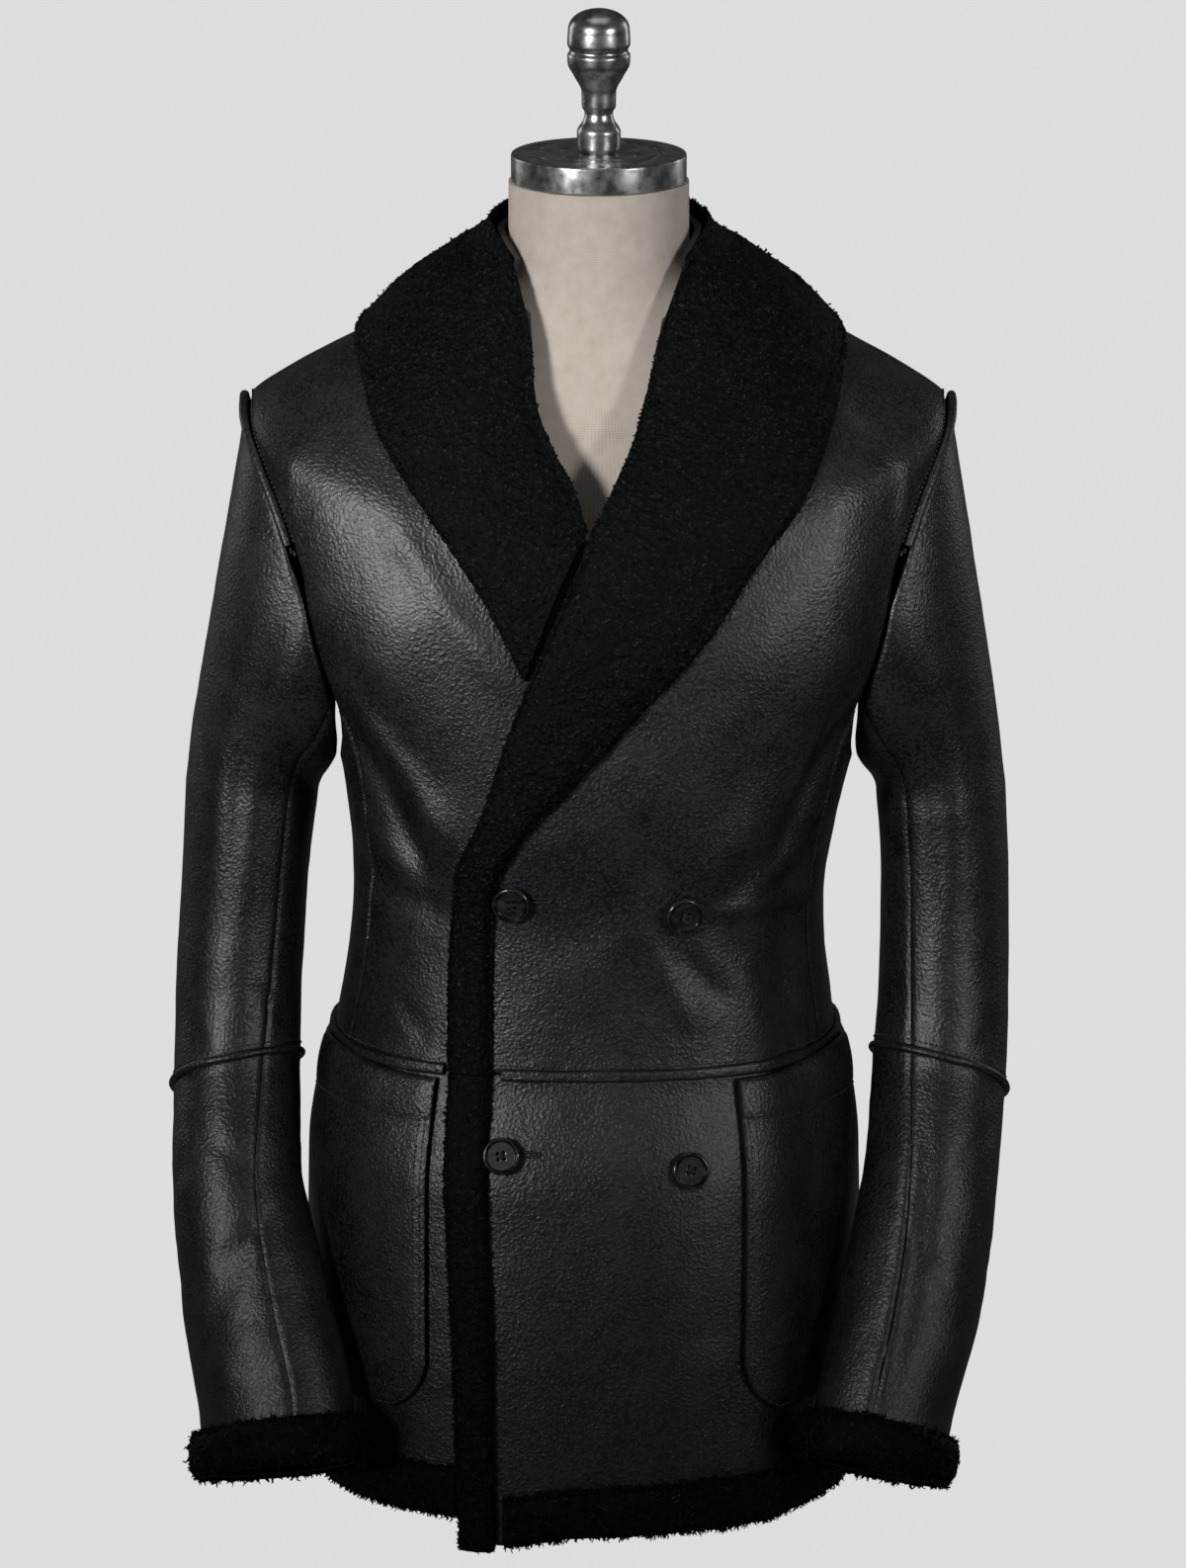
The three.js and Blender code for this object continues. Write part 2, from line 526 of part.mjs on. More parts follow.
// Collar stand inside the fold of the collar
{
  const ends = 56;
  const layer = (depth) =>
    grid(18, 2, (u, v) => onBody(mix(ends, 360 - ends, u), mix(NECK_LEVEL, STAND_TOP_LEVEL, v), -depth));
  addWall("collar_stand", MATERIALS.leather, layer(0), layer(WALL));
}

// Sleeves
const armholePoint = (turn) => {
  const [s, c] = [Math.sin(turn), Math.cos(turn)];
  const angle = 90 - (s > 0 ? ARMHOLE.front : ARMHOLE.back) * s;
  return { angle, level: ARMHOLE.level + ARMHOLE.halfHeight * c };
};

function sleeveSection(side) {
  const row = readers(SLEEVE, "z");
  const prefix = side < 0 ? "right" : "left";
  const centre = (z) => new THREE.Vector3(row[prefix + "X"](z), row.y(z), z);
  return (turn, z, inset) => {
    const down = centre(z - 1).sub(centre(z + 1)).normalize();
    const swing = THREE.MathUtils.degToRad(row.turn(z));
    const out = new THREE.Vector3(side * Math.cos(swing), Math.sin(swing), 0);
    out.addScaledVector(down, -out.dot(down)).normalize();
    const front = new THREE.Vector3().crossVectors(down, out).normalize();
    if (front.y > 0) front.negate();
    return centre(z)
      .addScaledVector(out, (row[prefix + "Half"](z) - inset) * Math.cos(turn))
      .addScaledVector(front, (row.halfDepth(z) - inset) * Math.sin(turn));
  };
}

// The point of a sleeve: `turn` is 0 outside, 90 degrees in front and 180 at the body.
// `along` below 0 is the sleeve head, from -1 at the armhole; above, it is a height z.
function sleeveSurface(side) {
  const section = sleeveSection(side);
  const topZ = SLEEVE.at(-1).z;
  const seam = (turn) => {
    const { angle, level } = armholePoint(turn);
    return bodySurface(side * angle, level).addScaledVector(bodyNormal(side * angle, level), 0.8);
  };
  const channel = (turn) => {
    const { level } = armholePoint(turn);
    const end = Math.sin(turn) > 0 ? WELT_END_LEVEL.front : WELT_END_LEVEL.back;
    return mix(0.6, WELT_CHANNEL, ramp(level, end - 30, end - 8));
  };
  const head = (turn, place) => {
    const [start, end] = [seam(turn), section(turn, topZ, 0)];
    const reach = start.distanceTo(end);
    const share = mix(channel(turn) / reach, 1, place);
    const leave = new THREE.Vector3(side * (0.13 + 0.47 * Math.sin(turn) ** 2), 0, -1).normalize();
    const arrive = new THREE.Vector3(side * 0.1, 0, -1).normalize();
    const [s, r] = [share, 1 - share];
    return start
      .multiplyScalar((1 + 2 * s) * r * r)
      .addScaledVector(leave, reach * s * r * r)
      .addScaledVector(end, s * s * (3 - 2 * s))
      .addScaledVector(arrive, -reach * s * s * r);
  };
  const outer = (turn, along) => (along < 0 ? head(turn, along + 1) : section(turn, along, 0));
  const step = (along, by) =>
    along < 0 ? Math.min(Math.max(along + by * 0.02, -1), -0.0001) : along - by * 2;
  const inward = (turn, along) => {
    const round = outer(turn + 0.02, along).sub(outer(turn - 0.02, along));
    const down = outer(turn, step(along, 1)).sub(outer(turn, step(along, -1)));
    const normal = round.cross(down).normalize();
    const axis = section(0, along < 0 ? topZ : along, 0).add(section(Math.PI, along < 0 ? topZ : along, 0));
    const toAxis = axis.multiplyScalar(0.5).sub(outer(turn, along)).setZ(0);
    return normal.dot(toAxis) < 0 ? normal.negate() : normal;
  };
  return (turn, along, inset) => outer(turn, along).addScaledVector(inward(turn, along), inset);
}

// Turns round a sleeve: the top piece spans most of them and the under piece the rest.
const TOP_PIECE = { from: -125, to: 125, steps: 16 };
const UNDER_PIECE = { from: 125, to: 235, steps: 7 };
const pieceTurns = ({ from, to, steps }, gap) =>
  Array.from({ length: steps + 1 }, (_, j) => THREE.MathUtils.degToRad(mix(from + gap, to - gap, j / steps)));
const RING_TURNS = [...pieceTurns(TOP_PIECE, 0), ...pieceTurns(UNDER_PIECE, 0).slice(1, -1)];

// One of the two pieces of a sleeve tube, between two ends given along the sleeve
function addSleevePiece(name, surface, piece, alongs) {
  const turns = pieceTurns(piece, SEAM_GAP);
  const layer = (inset) => alongs.map((alongAt) => turns.map((turn) => surface(turn, alongAt(turn), inset)));
  return addWall(name, MATERIALS.leather, layer(0), layer(WALL));
}

const elbowAt = (turn) => ELBOW_Z - ELBOW_TILT * Math.cos(turn);
const HEAD_ROWS = [-1, -0.94, -0.86, -0.7, -0.52, -0.35, -0.18];
const UPPER_ROWS = [462, 405, 345];
const FOREARM_ROWS = [250, 215, 180, 140, 95, CUFF_END_Z + 2];
const ARMHOLE_WELT = { from: -100, to: 66, steps: 28, lift: 1.9 };

for (const [side, word] of [[-1, "right"], [1, "left"]]) {
  const surface = sleeveSurface(side);
  const outward = (turn, along) => surface(turn, along, 0).sub(surface(turn, along, 1));
  const upper = [...[...HEAD_ROWS, ...UPPER_ROWS].map(still), (turn) => elbowAt(turn) + SEAM_GAP];
  const lower = [(turn) => elbowAt(turn) - SEAM_GAP, ...FOREARM_ROWS.map(still)];
  addSleevePiece(`sleeve_top_${word}`, surface, TOP_PIECE, upper);
  addSleevePiece(`sleeve_under_${word}`, surface, UNDER_PIECE, upper);
  addSleevePiece(`forearm_top_${word}`, surface, TOP_PIECE, lower);
  addSleevePiece(`forearm_under_${word}`, surface, UNDER_PIECE, lower);

  // Fur cuff round the sleeve's end
  const cuff = (top) =>
    grid(1, 2, (_, v) => v).map(([v]) =>
      RING_TURNS.map((turn) =>
        surface(turn, mix(CUFF_END_Z, CUFF_TOP_Z, v), -HEM_GAP - (top ? FUR * pad(v) : 0)),
      ),
    );
  addWall(`cuff_${word}`, MATERIALS.fur, cuff(true), cuff(false), true);

  // Rounded welts over the elbow seam and the upper part of the armhole seam
  const elbow = RING_TURNS.map((turn) => {
    return { point: surface(turn, elbowAt(turn), 0), normal: outward(turn, elbowAt(turn)) };
  });
  addWelt(`elbow_welt_${word}`, elbow, true);
  const armhole = pieceTurns(ARMHOLE_WELT, 0).map((turn) => {
    const { angle, level } = armholePoint(turn);
    const normal = bodyNormal(side * angle, level).add(outward(turn, -0.97)).normalize();
    return { point: bodySurface(side * angle, level).addScaledVector(normal, ARMHOLE_WELT.lift), normal };
  });
  addWelt(`armhole_welt_${word}`, armhole, false, true);
}

// A welt along a row of points that each have a normal: half-round on its flat side, or a full round cord
function addWelt(name, stations, closed, round = false) {
  const turns = round ? [0, 60, 120, 180, 240, 300] : [0, 45, 90, 135, 180];
  const sections = stations.map(({ point, normal }, i) => {
    const count = stations.length;
    const next = stations[closed ? (i + 1) % count : Math.min(i + 1, count - 1)].point;
    const last = stations[closed ? (i + count - 1) % count : Math.max(i - 1, 0)].point;
    const side = next.clone().sub(last).cross(normal).normalize();
    const base = point.clone().addScaledVector(normal, round ? 0 : WELT_LIFT);
    return turns.map((degrees) => {
      const turn = THREE.MathUtils.degToRad(degrees);
      return base
        .clone()
        .addScaledVector(side, WELT_RADIUS * Math.cos(turn))
        .addScaledVector(normal, WELT_RADIUS * Math.sin(turn));
    });
  });
  const points = sections.flat();
  const per = turns.length;
  const triangles = [];
  const spans = closed ? sections.length : sections.length - 1;
  for (let i = 0; i < spans; i++) {
    for (let k = 0; k < per; k++) {
      const [here, next] = [i * per, ((i + 1) % sections.length) * per];
      const other = (k + 1) % per;
      const [a, b, c, d] = [here + k, here + other, next + k, next + other];
      triangles.push(a, b, d, a, d, c);
    }
  }
  if (!closed) {
    const end = (sections.length - 1) * per;
    for (let k = 1; k < per - 1; k++) triangles.push(0, k + 1, k, end, end + k, end + k + 1);
  }
  return addMesh(name, MATERIALS.leather, points, triangles);
}

// Welt over the waist seam, in two lengths that meet at the back centre
function addWaistWelt(name, fromAngle, toAngle, count, lift) {
  const stations = Array.from({ length: count + 1 }, (_, j) => {
    const angle = mix(fromAngle, toAngle, j / count);
    const point = onBody(angle, WAIST_LEVEL, lift(angle, WAIST_LEVEL) + SEAM_GAP);
    return { point, normal: bodyNormal(angle, WAIST_LEVEL) };
  });
  return addWelt(name, stations, false);
}
addWaistWelt("waist_welt_right", -179.8, -29.5, 20, still(0));
addWaistWelt("waist_welt_left", -14.6, 179.8, 26, lapLift);

// Patch pockets, whose mouth stands open at the side
for (const [side, sign] of [["right", -1], ["left", 1]]) {
  const layer = (depth) =>
    grid(9, 10, (u, v) => {
      const corner = Math.max(0, 1 - (v * (POCKET.topLevel - POCKET.bottomLevel)) / POCKET.cornerHeight);
      const cut = POCKET.cornerDegrees * (1 - Math.sqrt(1 - corner ** 2));
      const angle = mix(POCKET.inner + cut, POCKET.outer - cut, u);
      const open = ramp(angle, 42, 70);
      const top = POCKET.topLevel - WELT_RADIUS + (POCKET_MOUTH_RISE + WELT_RADIUS) * open;
      const level = mix(POCKET.bottomLevel, top, v);
      const gape = POCKET_GAPE * open * ramp(v, 0.55, 1);
      const base = sign > 0 ? lapLift(angle, level) : 0;
      return onBody(sign * angle, level, base + POCKET_GAP[side] + gape + (POCKET_WALL - depth));
    });
  addWall(`pocket_${side}`, MATERIALS.leather, layer(0), layer(POCKET_WALL));
}

// Buttons: a turned disc with a raised rim, a dish and four holes
function solidOf(geometry) {
  const plain = geometry.clone();
  plain.deleteAttribute("normal");
  plain.deleteAttribute("uv");
  const merged = mergeVertices(plain, 1e-3);
  return new wasm.Manifold(
    new wasm.Mesh({
      numProp: 3,
      vertProperties: merged.attributes.position.array,
      triVerts: new Uint32Array(merged.index.array),
    }),
  );
}

function buttonGeometry() {
  const { radius, thickness, rim, dish, holeRadius, holeSpread, standoff } = BUTTON;
  const profile = [
    [0, SHANK.gap - standoff],
    [SHANK.radius, SHANK.gap - standoff],
    [SHANK.radius, 0],
    [radius - 2.4, 0],
    [radius, thickness * 0.45],
    [radius - 0.5, thickness * 0.9],
    [radius - rim * 0.55, thickness],
    [radius - rim - 0.6, thickness - dish],
    [0, thickness - dish],
  ].map(([x, y]) => new THREE.Vector2(x, y));
  let solid = solidOf(new THREE.LatheGeometry(profile, 16).rotateX(Math.PI / 2));
  for (const turn of [45, 135, 225, 315].map(THREE.MathUtils.degToRad)) {
    const hole = new THREE.CylinderGeometry(holeRadius, holeRadius, 3 * thickness, 5).rotateX(Math.PI / 2);
    hole.translate(holeSpread * Math.cos(turn), holeSpread * Math.sin(turn), 0);
    solid = solid.subtract(solidOf(hole));
  }
  const mesh = solid.getMesh();
  const geometry = new THREE.BufferGeometry();
  geometry.setAttribute("position", new THREE.BufferAttribute(mesh.vertProperties, 3));
  geometry.setIndex(new THREE.BufferAttribute(mesh.triVerts, 1));
  geometry.computeVertexNormals();
  return geometry;
}

for (const [name, { angle, level, sink }] of Object.entries(BUTTONS)) {
  const button = addGeometry(name, MATERIALS.horn, buttonGeometry());
  const normal = bodyNormal(angle, level);
  button.position.copy(onBody(angle, level, lapLift(angle, level) + BUTTON.standoff - sink));
  button.quaternion.setFromUnitVectors(new THREE.Vector3(0, 0, 1), normal);
}

// Dress form: a smooth torso with a bare neck, closed by a flat base and a flat top
{
  const form = ringSurface(FORM_RINGS);
  const levels = [0, 18, 50, 110, 235, 310, 395, 450, 505, 560, 600, 625, 645, 660, 700, 728, 745, 762, 775, 847.6];
  const around = 26;
  const points = levels.flatMap((level) =>
    Array.from({ length: around }, (_, j) => form((j / around) * 360, level)),
  );
  const triangles = [];
  for (let i = 0; i < levels.length - 1; i++) {
    for (let j = 0; j < around; j++) {
      const [a, b] = [i * around + j, i * around + ((j + 1) % around)];
      triangles.push(a, b, b + around, a, b + around, a + around);
    }
  }
  const top = (levels.length - 1) * around;
  for (let j = 1; j < around - 1; j++) triangles.push(0, j + 1, j, top, top + j, top + j + 1);
  addMesh("form_torso", MATERIALS.linen, points, triangles);
}

// Metal neck cap with two turned grooves, and the knob on it
function latheZ(rows, segments) {
  return new THREE.LatheGeometry(rows.map(([r, z]) => new THREE.Vector2(r, z)), segments).rotateX(Math.PI / 2);
}
{
  const { radius, height, bottomZ, rimRadius, groove, grooveRadii } = NECK_CAP;
  const rows = [
    [0, 0],
    [radius - 0.6, 0],
    [radius, 0.6],
    [radius, height - rimRadius],
    [radius - rimRadius, height],
    ...[...grooveRadii].reverse().flatMap((r) => [
      [r + groove, height],
      [r, height - groove],
      [r - groove, height],
    ]),
    [0, height],
  ];
  addGeometry("form_neck_cap", MATERIALS.metal, latheZ(rows, 28)).position.set(0.5, 0.5, bottomZ);
  const knob = FINIAL.map((row) => [row.radius, row.height]);
  addGeometry("form_finial", MATERIALS.metal, latheZ(knob, 18)).position.set(0.5, 0.5, bottomZ + height + 0.3);
}

export default coat;
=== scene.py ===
"""Dresses a double-breasted shearling coat on its dress form for rendering.

Lengths in the tables are millimetres and angles are degrees; every mesh is written in metres. An angle runs
round the body: 0 is the front centre, 90 the wearer's left and 180 the back centre. A level is the height that
a ring of the body has at the front centre.
"""

import logging
import math
from dataclasses import dataclass, field
from enum import Enum
from functools import cached_property
from typing import Callable, Sequence

import bpy
import numpy as np
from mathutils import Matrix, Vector


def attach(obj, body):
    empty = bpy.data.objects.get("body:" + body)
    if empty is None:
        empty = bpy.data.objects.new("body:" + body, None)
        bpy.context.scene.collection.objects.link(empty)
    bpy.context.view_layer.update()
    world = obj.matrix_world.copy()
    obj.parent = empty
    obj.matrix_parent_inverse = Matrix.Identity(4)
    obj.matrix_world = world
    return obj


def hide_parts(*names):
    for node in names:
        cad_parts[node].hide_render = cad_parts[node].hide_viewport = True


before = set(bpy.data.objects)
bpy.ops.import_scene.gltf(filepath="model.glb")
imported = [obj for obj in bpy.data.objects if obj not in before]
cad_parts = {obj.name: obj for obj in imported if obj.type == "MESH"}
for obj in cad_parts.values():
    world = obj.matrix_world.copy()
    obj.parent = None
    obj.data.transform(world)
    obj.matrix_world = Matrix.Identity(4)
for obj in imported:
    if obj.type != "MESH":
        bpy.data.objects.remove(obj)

Array = np.ndarray
Table = dict[str, Array]
Curve = Callable[[Array], Array]
Lift = Callable[[Array, Array], Array]

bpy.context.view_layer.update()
MM = 0.001
log = logging.getLogger("coat")


class Held(Enum):
    """How a sheet of leather or fur is held."""

    ON_FORM = "draped"
    SLEEVE = "hung"
    TURNED = "folded"
    FLAT = "laid"


def table(names: str, rows: Sequence[Sequence[float]]) -> Table:
    """Turns rows under named columns into one array for each column."""
    return dict(zip(names.split(), np.array(rows, float).T))


def mix(start: Array, end: Array, share: Array) -> Array:
    """Goes straight from start to end as share goes from 0 to 1."""
    return start + (end - start) * share


def ramp(value: Array, start: float, end: float) -> Array:
    """Goes from 0 to 1 without a corner while value goes from start to end: t²(3 - 2t)."""
    t = np.clip((value - start) / (end - start), 0, 1)
    return t * t * (3 - 2 * t)


def unit(vectors: Array) -> Array:
    """Scales vectors to length 1."""
    return vectors / np.maximum(np.linalg.norm(vectors, axis=-1, keepdims=True), 1e-12)


def smooth_curve(xs: Array, ys: Array) -> Curve:
    """A smooth curve through table rows that never overshoots them.

    Over a span h it is y0(1+2s)(1-s)² + m0·h·s(1-s)² + y1·s²(3-2s) + m1·h·s²(s-1). A slope m is the weighted
    harmonic mean of the slopes on both sides, and 0 at a turning point.

    Args:
        xs: Where the rows lie, rising.
        ys: The rows' values.
    Returns:
        A function of an array of places.
    """
    spans = np.diff(xs)
    slopes = np.diff(ys) / spans
    rising = slopes[:-1] * slopes[1:] > 0
    before, after = np.where(rising, slopes[:-1], 1), np.where(rising, slopes[1:], 1)
    near, far = 2 * spans[1:] + spans[:-1], spans[1:] + 2 * spans[:-1]
    middle = np.where(rising, (near + far) / (near / before + far / after), 0)
    tangents = np.concatenate([slopes[:1], middle, slopes[-1:]])

    def curve(at: Array) -> Array:
        """Reads the curve at an array of places."""
        i = np.clip(np.searchsorted(xs, at, side="right") - 1, 0, len(xs) - 2)
        h = spans[i]
        s = (at - xs[i]) / h
        r = 1 - s
        return (
            ys[i] * (1 + 2 * s) * r * r
            + tangents[i] * h * s * r * r
            + ys[i + 1] * s * s * (3 - 2 * s)
            - tangents[i + 1] * h * s * s * r
        )

    return curve


def cell_number(cells: Array, channel: int) -> Array:
    """A fixed pseudo-random number from 0 to 1 for each whole-numbered cell of space."""
    c = cells.astype(np.int64)
    mixed = (c[..., 0] * 73856093) ^ (c[..., 1] * 19349663) ^ (c[..., 2] * 83492791) ^ (channel * 40503 + 977)
    mixed = ((mixed ^ (mixed >> 13)) & 0x7FFFFFFF) * 1274126177 & 0x7FFFFFFF
    mixed = ((mixed ^ (mixed >> 15)) & 0x7FFFFFFF) * 1103515245 & 0x7FFFFFFF
    return (mixed >> 7) / float(1 << 24)


def tufts(points: Array, size: float, channel: int) -> Array:
    """Round tufts packed side by side, as 1 less the distance to the nearest of one random point in each cell."""
    scaled = points / size
    cell = np.floor(scaled)
    nearest = np.full(points.shape[:-1], 9.0)
    for offset in np.ndindex(3, 3, 3):
        here = cell + (np.array(offset) - 1)
        centre = here + np.stack([cell_number(here, channel + k) for k in range(3)], -1)
        nearest = np.minimum(nearest, ((scaled - centre) ** 2).sum(-1))
    return 1 - np.sqrt(nearest)


def lumps(points: Array, size: float, channel: int) -> Array:
    """Soft unevenness from -1 to 1: random numbers at the corners of cells, blended smoothly between them."""
    scaled = points / size
    cell = np.floor(scaled)
    share = scaled - cell
    share = share * share * (3 - 2 * share)
    total = np.zeros(points.shape[:-1])
    for corner in np.ndindex(2, 2, 2):
        weight = np.prod(np.where(np.array(corner) == 1, share, 1 - share), axis=-1)
        total += weight * cell_number(cell + np.array(corner), channel)
    return 2 * total - 1


def shares(count: int, tight: float = 0.0) -> Array:
    """Shares from 0 to 1, closer together at both ends as `tight` rises: mix(t, (1 - cos πt)/2, tight)."""
    t = np.linspace(0, 1, count + 1)
    return mix(t, (1 - np.cos(np.pi * t)) / 2, tight)


def grid_normals(points: Array) -> Array:
    """Unit normals of a grid of points, across its two directions."""
    return unit(np.cross(np.gradient(points, axis=1), np.gradient(points, axis=0)))


def border_distance(points: Array, ring: bool) -> Array:
    """How far each point of a grid lies from its border, measured along rows and columns.

    Args:
        points: Rows by columns of points.
        ring: Whether the rows run round and meet, so that only the columns' ends are a border.
    Returns:
        The distance of each point.
    """
    across = np.linalg.norm(np.diff(points, axis=1), axis=-1)
    start = np.pad(np.cumsum(across, 1), ((0, 0), (1, 0)))
    distance = np.minimum(start, start[:, -1:] - start)
    if not ring:
        along = np.linalg.norm(np.diff(points, axis=0), axis=-1)
        foot = np.pad(np.cumsum(along, 0), ((1, 0), (0, 0)))
        distance = np.minimum(distance, np.minimum(foot, foot[-1:] - foot))
    return distance


def pad(share: Array) -> Array:
    """The rounded section of a fur pad: 0.2 at its rims and 1 between, as 0.2 + 0.8(1 - |2s - 1|⁴)."""
    return 0.2 + 0.8 * (1 - np.abs(2 * share - 1) ** 4)


def relief(across: Array, up: Array, scale: float, creases: Table) -> Array:
    """How far straight soft creases raise a surface.

    Each crease is depth · e^-(aside/width)², where aside is the distance from its line, and it fades in and out
    over the line's ends.

    Args:
        across: Angles round the surface.
        up: Heights on the surface.
        scale: Millimetres to one degree.
        creases: Columns from_a, from_z, to_a, to_z, width and depth; a depth below zero is a trough.
    Returns:
        The height of the relief.
    """
    total = np.zeros(np.broadcast(across, up).shape)
    for a0, z0, a1, z1, width, depth in zip(*creases.values()):
        dx, dz = (a1 - a0) * scale, z1 - z0
        px, pz = (across - a0) * scale, up - z0
        length = math.hypot(dx, dz)
        along = (px * dx + pz * dz) / length**2
        aside = (px * dz - pz * dx) / length
        ends = ramp(along, -0.15, 0.3) * (1 - ramp(along, 0.7, 1.15))
        total += depth * ends * np.exp(-((aside / width) ** 2))
    return total


@dataclass(frozen=True)
class RingSurface:
    """A surface of closed rings, each with its own height at the front, sides and back.

    x = centre + halfWidth·sign(sin a)·|sin a|^(2/p), y = side + (end - side)·|cos a|^(2/p) and
    z = sideZ + (endZ - sideZ)·cos² a, where p is the ring's power.
    """

    rings: Table
    soften: int = 7  # mm over which a turn from one ring to the next is spread

    @cached_property
    def curves(self) -> dict[str, Curve]:
        """One smooth curve over the level for each column, softened by a bell-shaped running mean."""
        low, high = self.rings["level"][0], self.rings["level"][-1]
        at = np.linspace(low, high, int(high - low) + 1)
        reach = 3 * self.soften
        bell = np.exp(-0.5 * (np.arange(-reach, reach + 1) / self.soften) ** 2)

        def softened(column: Array) -> Curve:
            """The softened curve of one column."""
            values = np.pad(smooth_curve(self.rings["level"], column)(at), reach, "reflect", reflect_type="odd")
            even = np.convolve(values, bell / bell.sum(), "valid")
            return lambda level: np.interp(level, at, even)

        return {key: softened(column) for key, column in self.rings.items()}

    def point(self, angle: Array, level: Array) -> Array:
        """The points at angles and levels."""
        angle, level = np.broadcast_arrays(np.asarray(angle, float), np.asarray(level, float))
        read = {key: curve(level) for key, curve in self.curves.items()}
        s, c = np.sin(np.radians(angle)), np.cos(np.radians(angle))
        power = 2 / read["power"]
        end_y = np.where(c > 0, read["front_y"], read["back_y"])
        end_z = np.where(c > 0, level, read["back_z"])
        x = read["centre_x"] + read["half_width"] * np.sign(s) * np.abs(s) ** power
        y = read["side_y"] + (end_y - read["side_y"]) * np.abs(c) ** power
        z = read["side_z"] + (end_z - read["side_z"]) * c * c
        return np.stack([x, y, z], -1)

    def normal(self, angle: Array, level: Array) -> Array:
        """Unit normals, from the cross product of steps round the body and up it."""
        low, high = self.rings["level"][0], self.rings["level"][-1]
        across = self.point(angle + 0.5, level) - self.point(angle - 0.5, level)
        up = self.point(angle, np.minimum(level + 1, high)) - self.point(angle, np.maximum(level - 1, low))
        return unit(np.cross(across, up))


RING_COLUMNS = "level side_z back_z centre_x half_width front_y back_y side_y power"
COAT_RINGS = table(
    RING_COLUMNS,
    [
        (5, 9, 5, -9, 163, -150, 136, 0, 2.4),
        (120, 121, 120, -9.5, 167, -152, 140, 0, 2.4),
        (235, 236, 235, -9, 168, -147, 138, 0, 2.4),
        (309, 309, 309, -8, 157, -130, 116, 0, 2.4),
        (395, 396, 397, -6, 147.5, -126, 100, 0, 2.4),
        (470, 490, 485, -1, 161, -136, 112, 2, 2.4),
        (560, 604, 590, 0, 212, -138, 116, 4, 2.4),
        (640, 703, 687, 0, 223, -124, 100, 8, 2.4),
        (668, 727, 720, 0, 193, -112, 92, 9, 2.35),
        (700, 750, 757, 1, 150, -96, 82, 10, 2.3),
        (760, 800, 812, 1, 68, -70, 74, 6, 2.1),
        (790, 828, 840, 1, 62.5, -66, 70, 3, 2),
        (800, 837, 849, 1, 62, -65.5, 69, 3, 2),
    ],
)
FORM_RINGS = table(
    RING_COLUMNS,
    [
        (0, 0, 0, -4, 104, -60, 84, 0, 2.2),
        (50, 50, 50, -4, 125, -98, 97, 0, 2.2),
        (110, 110, 110, -4, 131, -110, 101, 0, 2.2),
        (235, 235, 235, -4, 134, -112, 102, 0, 2.2),
        (395, 395, 395, -3, 118, -98, 78, 0, 2.2),
        (480, 495, 490, 0, 138, -108, 88, 2, 2.2),
        (560, 600, 590, 0, 176, -110, 92, 4, 2.2),
        (625, 682, 672, 0, 197, -98, 84, 8, 2.2),
        (660, 716.5, 712, 0, 186, -88, 76, 9, 2.2),
        (700, 743.3, 746.3, 0.5, 150, -76, 68, 10, 2.2),
        (745, 777.6, 786.6, 0.5, 82, -62, 62, 8, 2.1),
        (775, 807.6, 813.6, 0.5, 56, -55, 56, 0.5, 2),
        (847.6, 847.6, 847.6, 0.5, 56, -55.5, 56.5, 0.5, 2),
    ],
)

CREASE_COLUMNS = "from_a from_z to_a to_z width depth"
# The large folds of the body, as in the solids
FOLDS = table(
    CREASE_COLUMNS,
    [
        (-62, 500, -36, 415, 13, -6),
        (-50, 528, -30, 440, 12, 4),
        (62, 505, 40, 430, 13, -5),
        (29, 412, 54, 440, 9, 3),
        (30, 395, 56, 345, 10, -3),
        (135, 480, 160, 380, 16, -4),
        (-135, 485, -158, 385, 16, -4),
    ],
)
# Smaller creases of the body: along the lapels, round the buttons, at the sides, and like ones behind
CREASES = table(
    CREASE_COLUMNS,
    [
        (-31, 645, -10, 548, 9, 2.2),
        (-25, 604, -39, 532, 17, 2),
        (-84, 424, -31, 404, 8, -2.4),
        (-66, 444, -34, 421, 8, 1.6),
        (-48, 350, -34, 322, 7, -1.1),
        (25, 411, 74, 407, 5, 1.7),
        (28, 420, 70, 424, 6, -1.6),
        (10, 399, 22, 334, 8, 2),
        (17, 388, 31, 348, 7, -1.6),
        (8, 424, 6, 480, 9, -1.7),
        (-5, 362, 36, 480, 16, 1.6),
        (6, 455, 31, 620, 24, 2.2),
        (43, 520, 44, 466, 7, 2.2),
        (48, 522, 50, 468, 7, -2.2),
        (50, 434, 74, 420, 6, 1.3),
        (-56, 655, -56, 600, 7, 0.9),
        (56, 655, 56, 603, 7, 0.9),
        (-58, 262, -62, 110, 17, -1.6),
        (22, 240, 12, 70, 22, 1.4),
        (-8, 236, 4, 90, 18, -1.2),
        (88, 290, 104, 120, 17, -2),
        (-88, 285, -103, 100, 18, -2.2),
        (128, 300, 140, 80, 20, 2.2),
        (-130, 300, -146, 90, 21, 2.4),
        (162, 290, 158, 70, 18, -2),
        (-166, 295, -161, 60, 20, -1.8),
        (150, 610, 172, 520, 20, -2),
        (-152, 600, -170, 530, 18, -1.8),
        (120, 470, 150, 410, 9, 1.7),
        (-121, 462, -152, 402, 8, 1.8),
        (140, 350, 166, 330, 7, -1.4),
        (-143, 356, -163, 327, 8, -1.3),
    ],
)
SIDE_SEAM = table("level angle", [(309, 68), (512, 62)])
FACING_COLUMNS = "roll_angle roll_level edge_angle edge_level rise"
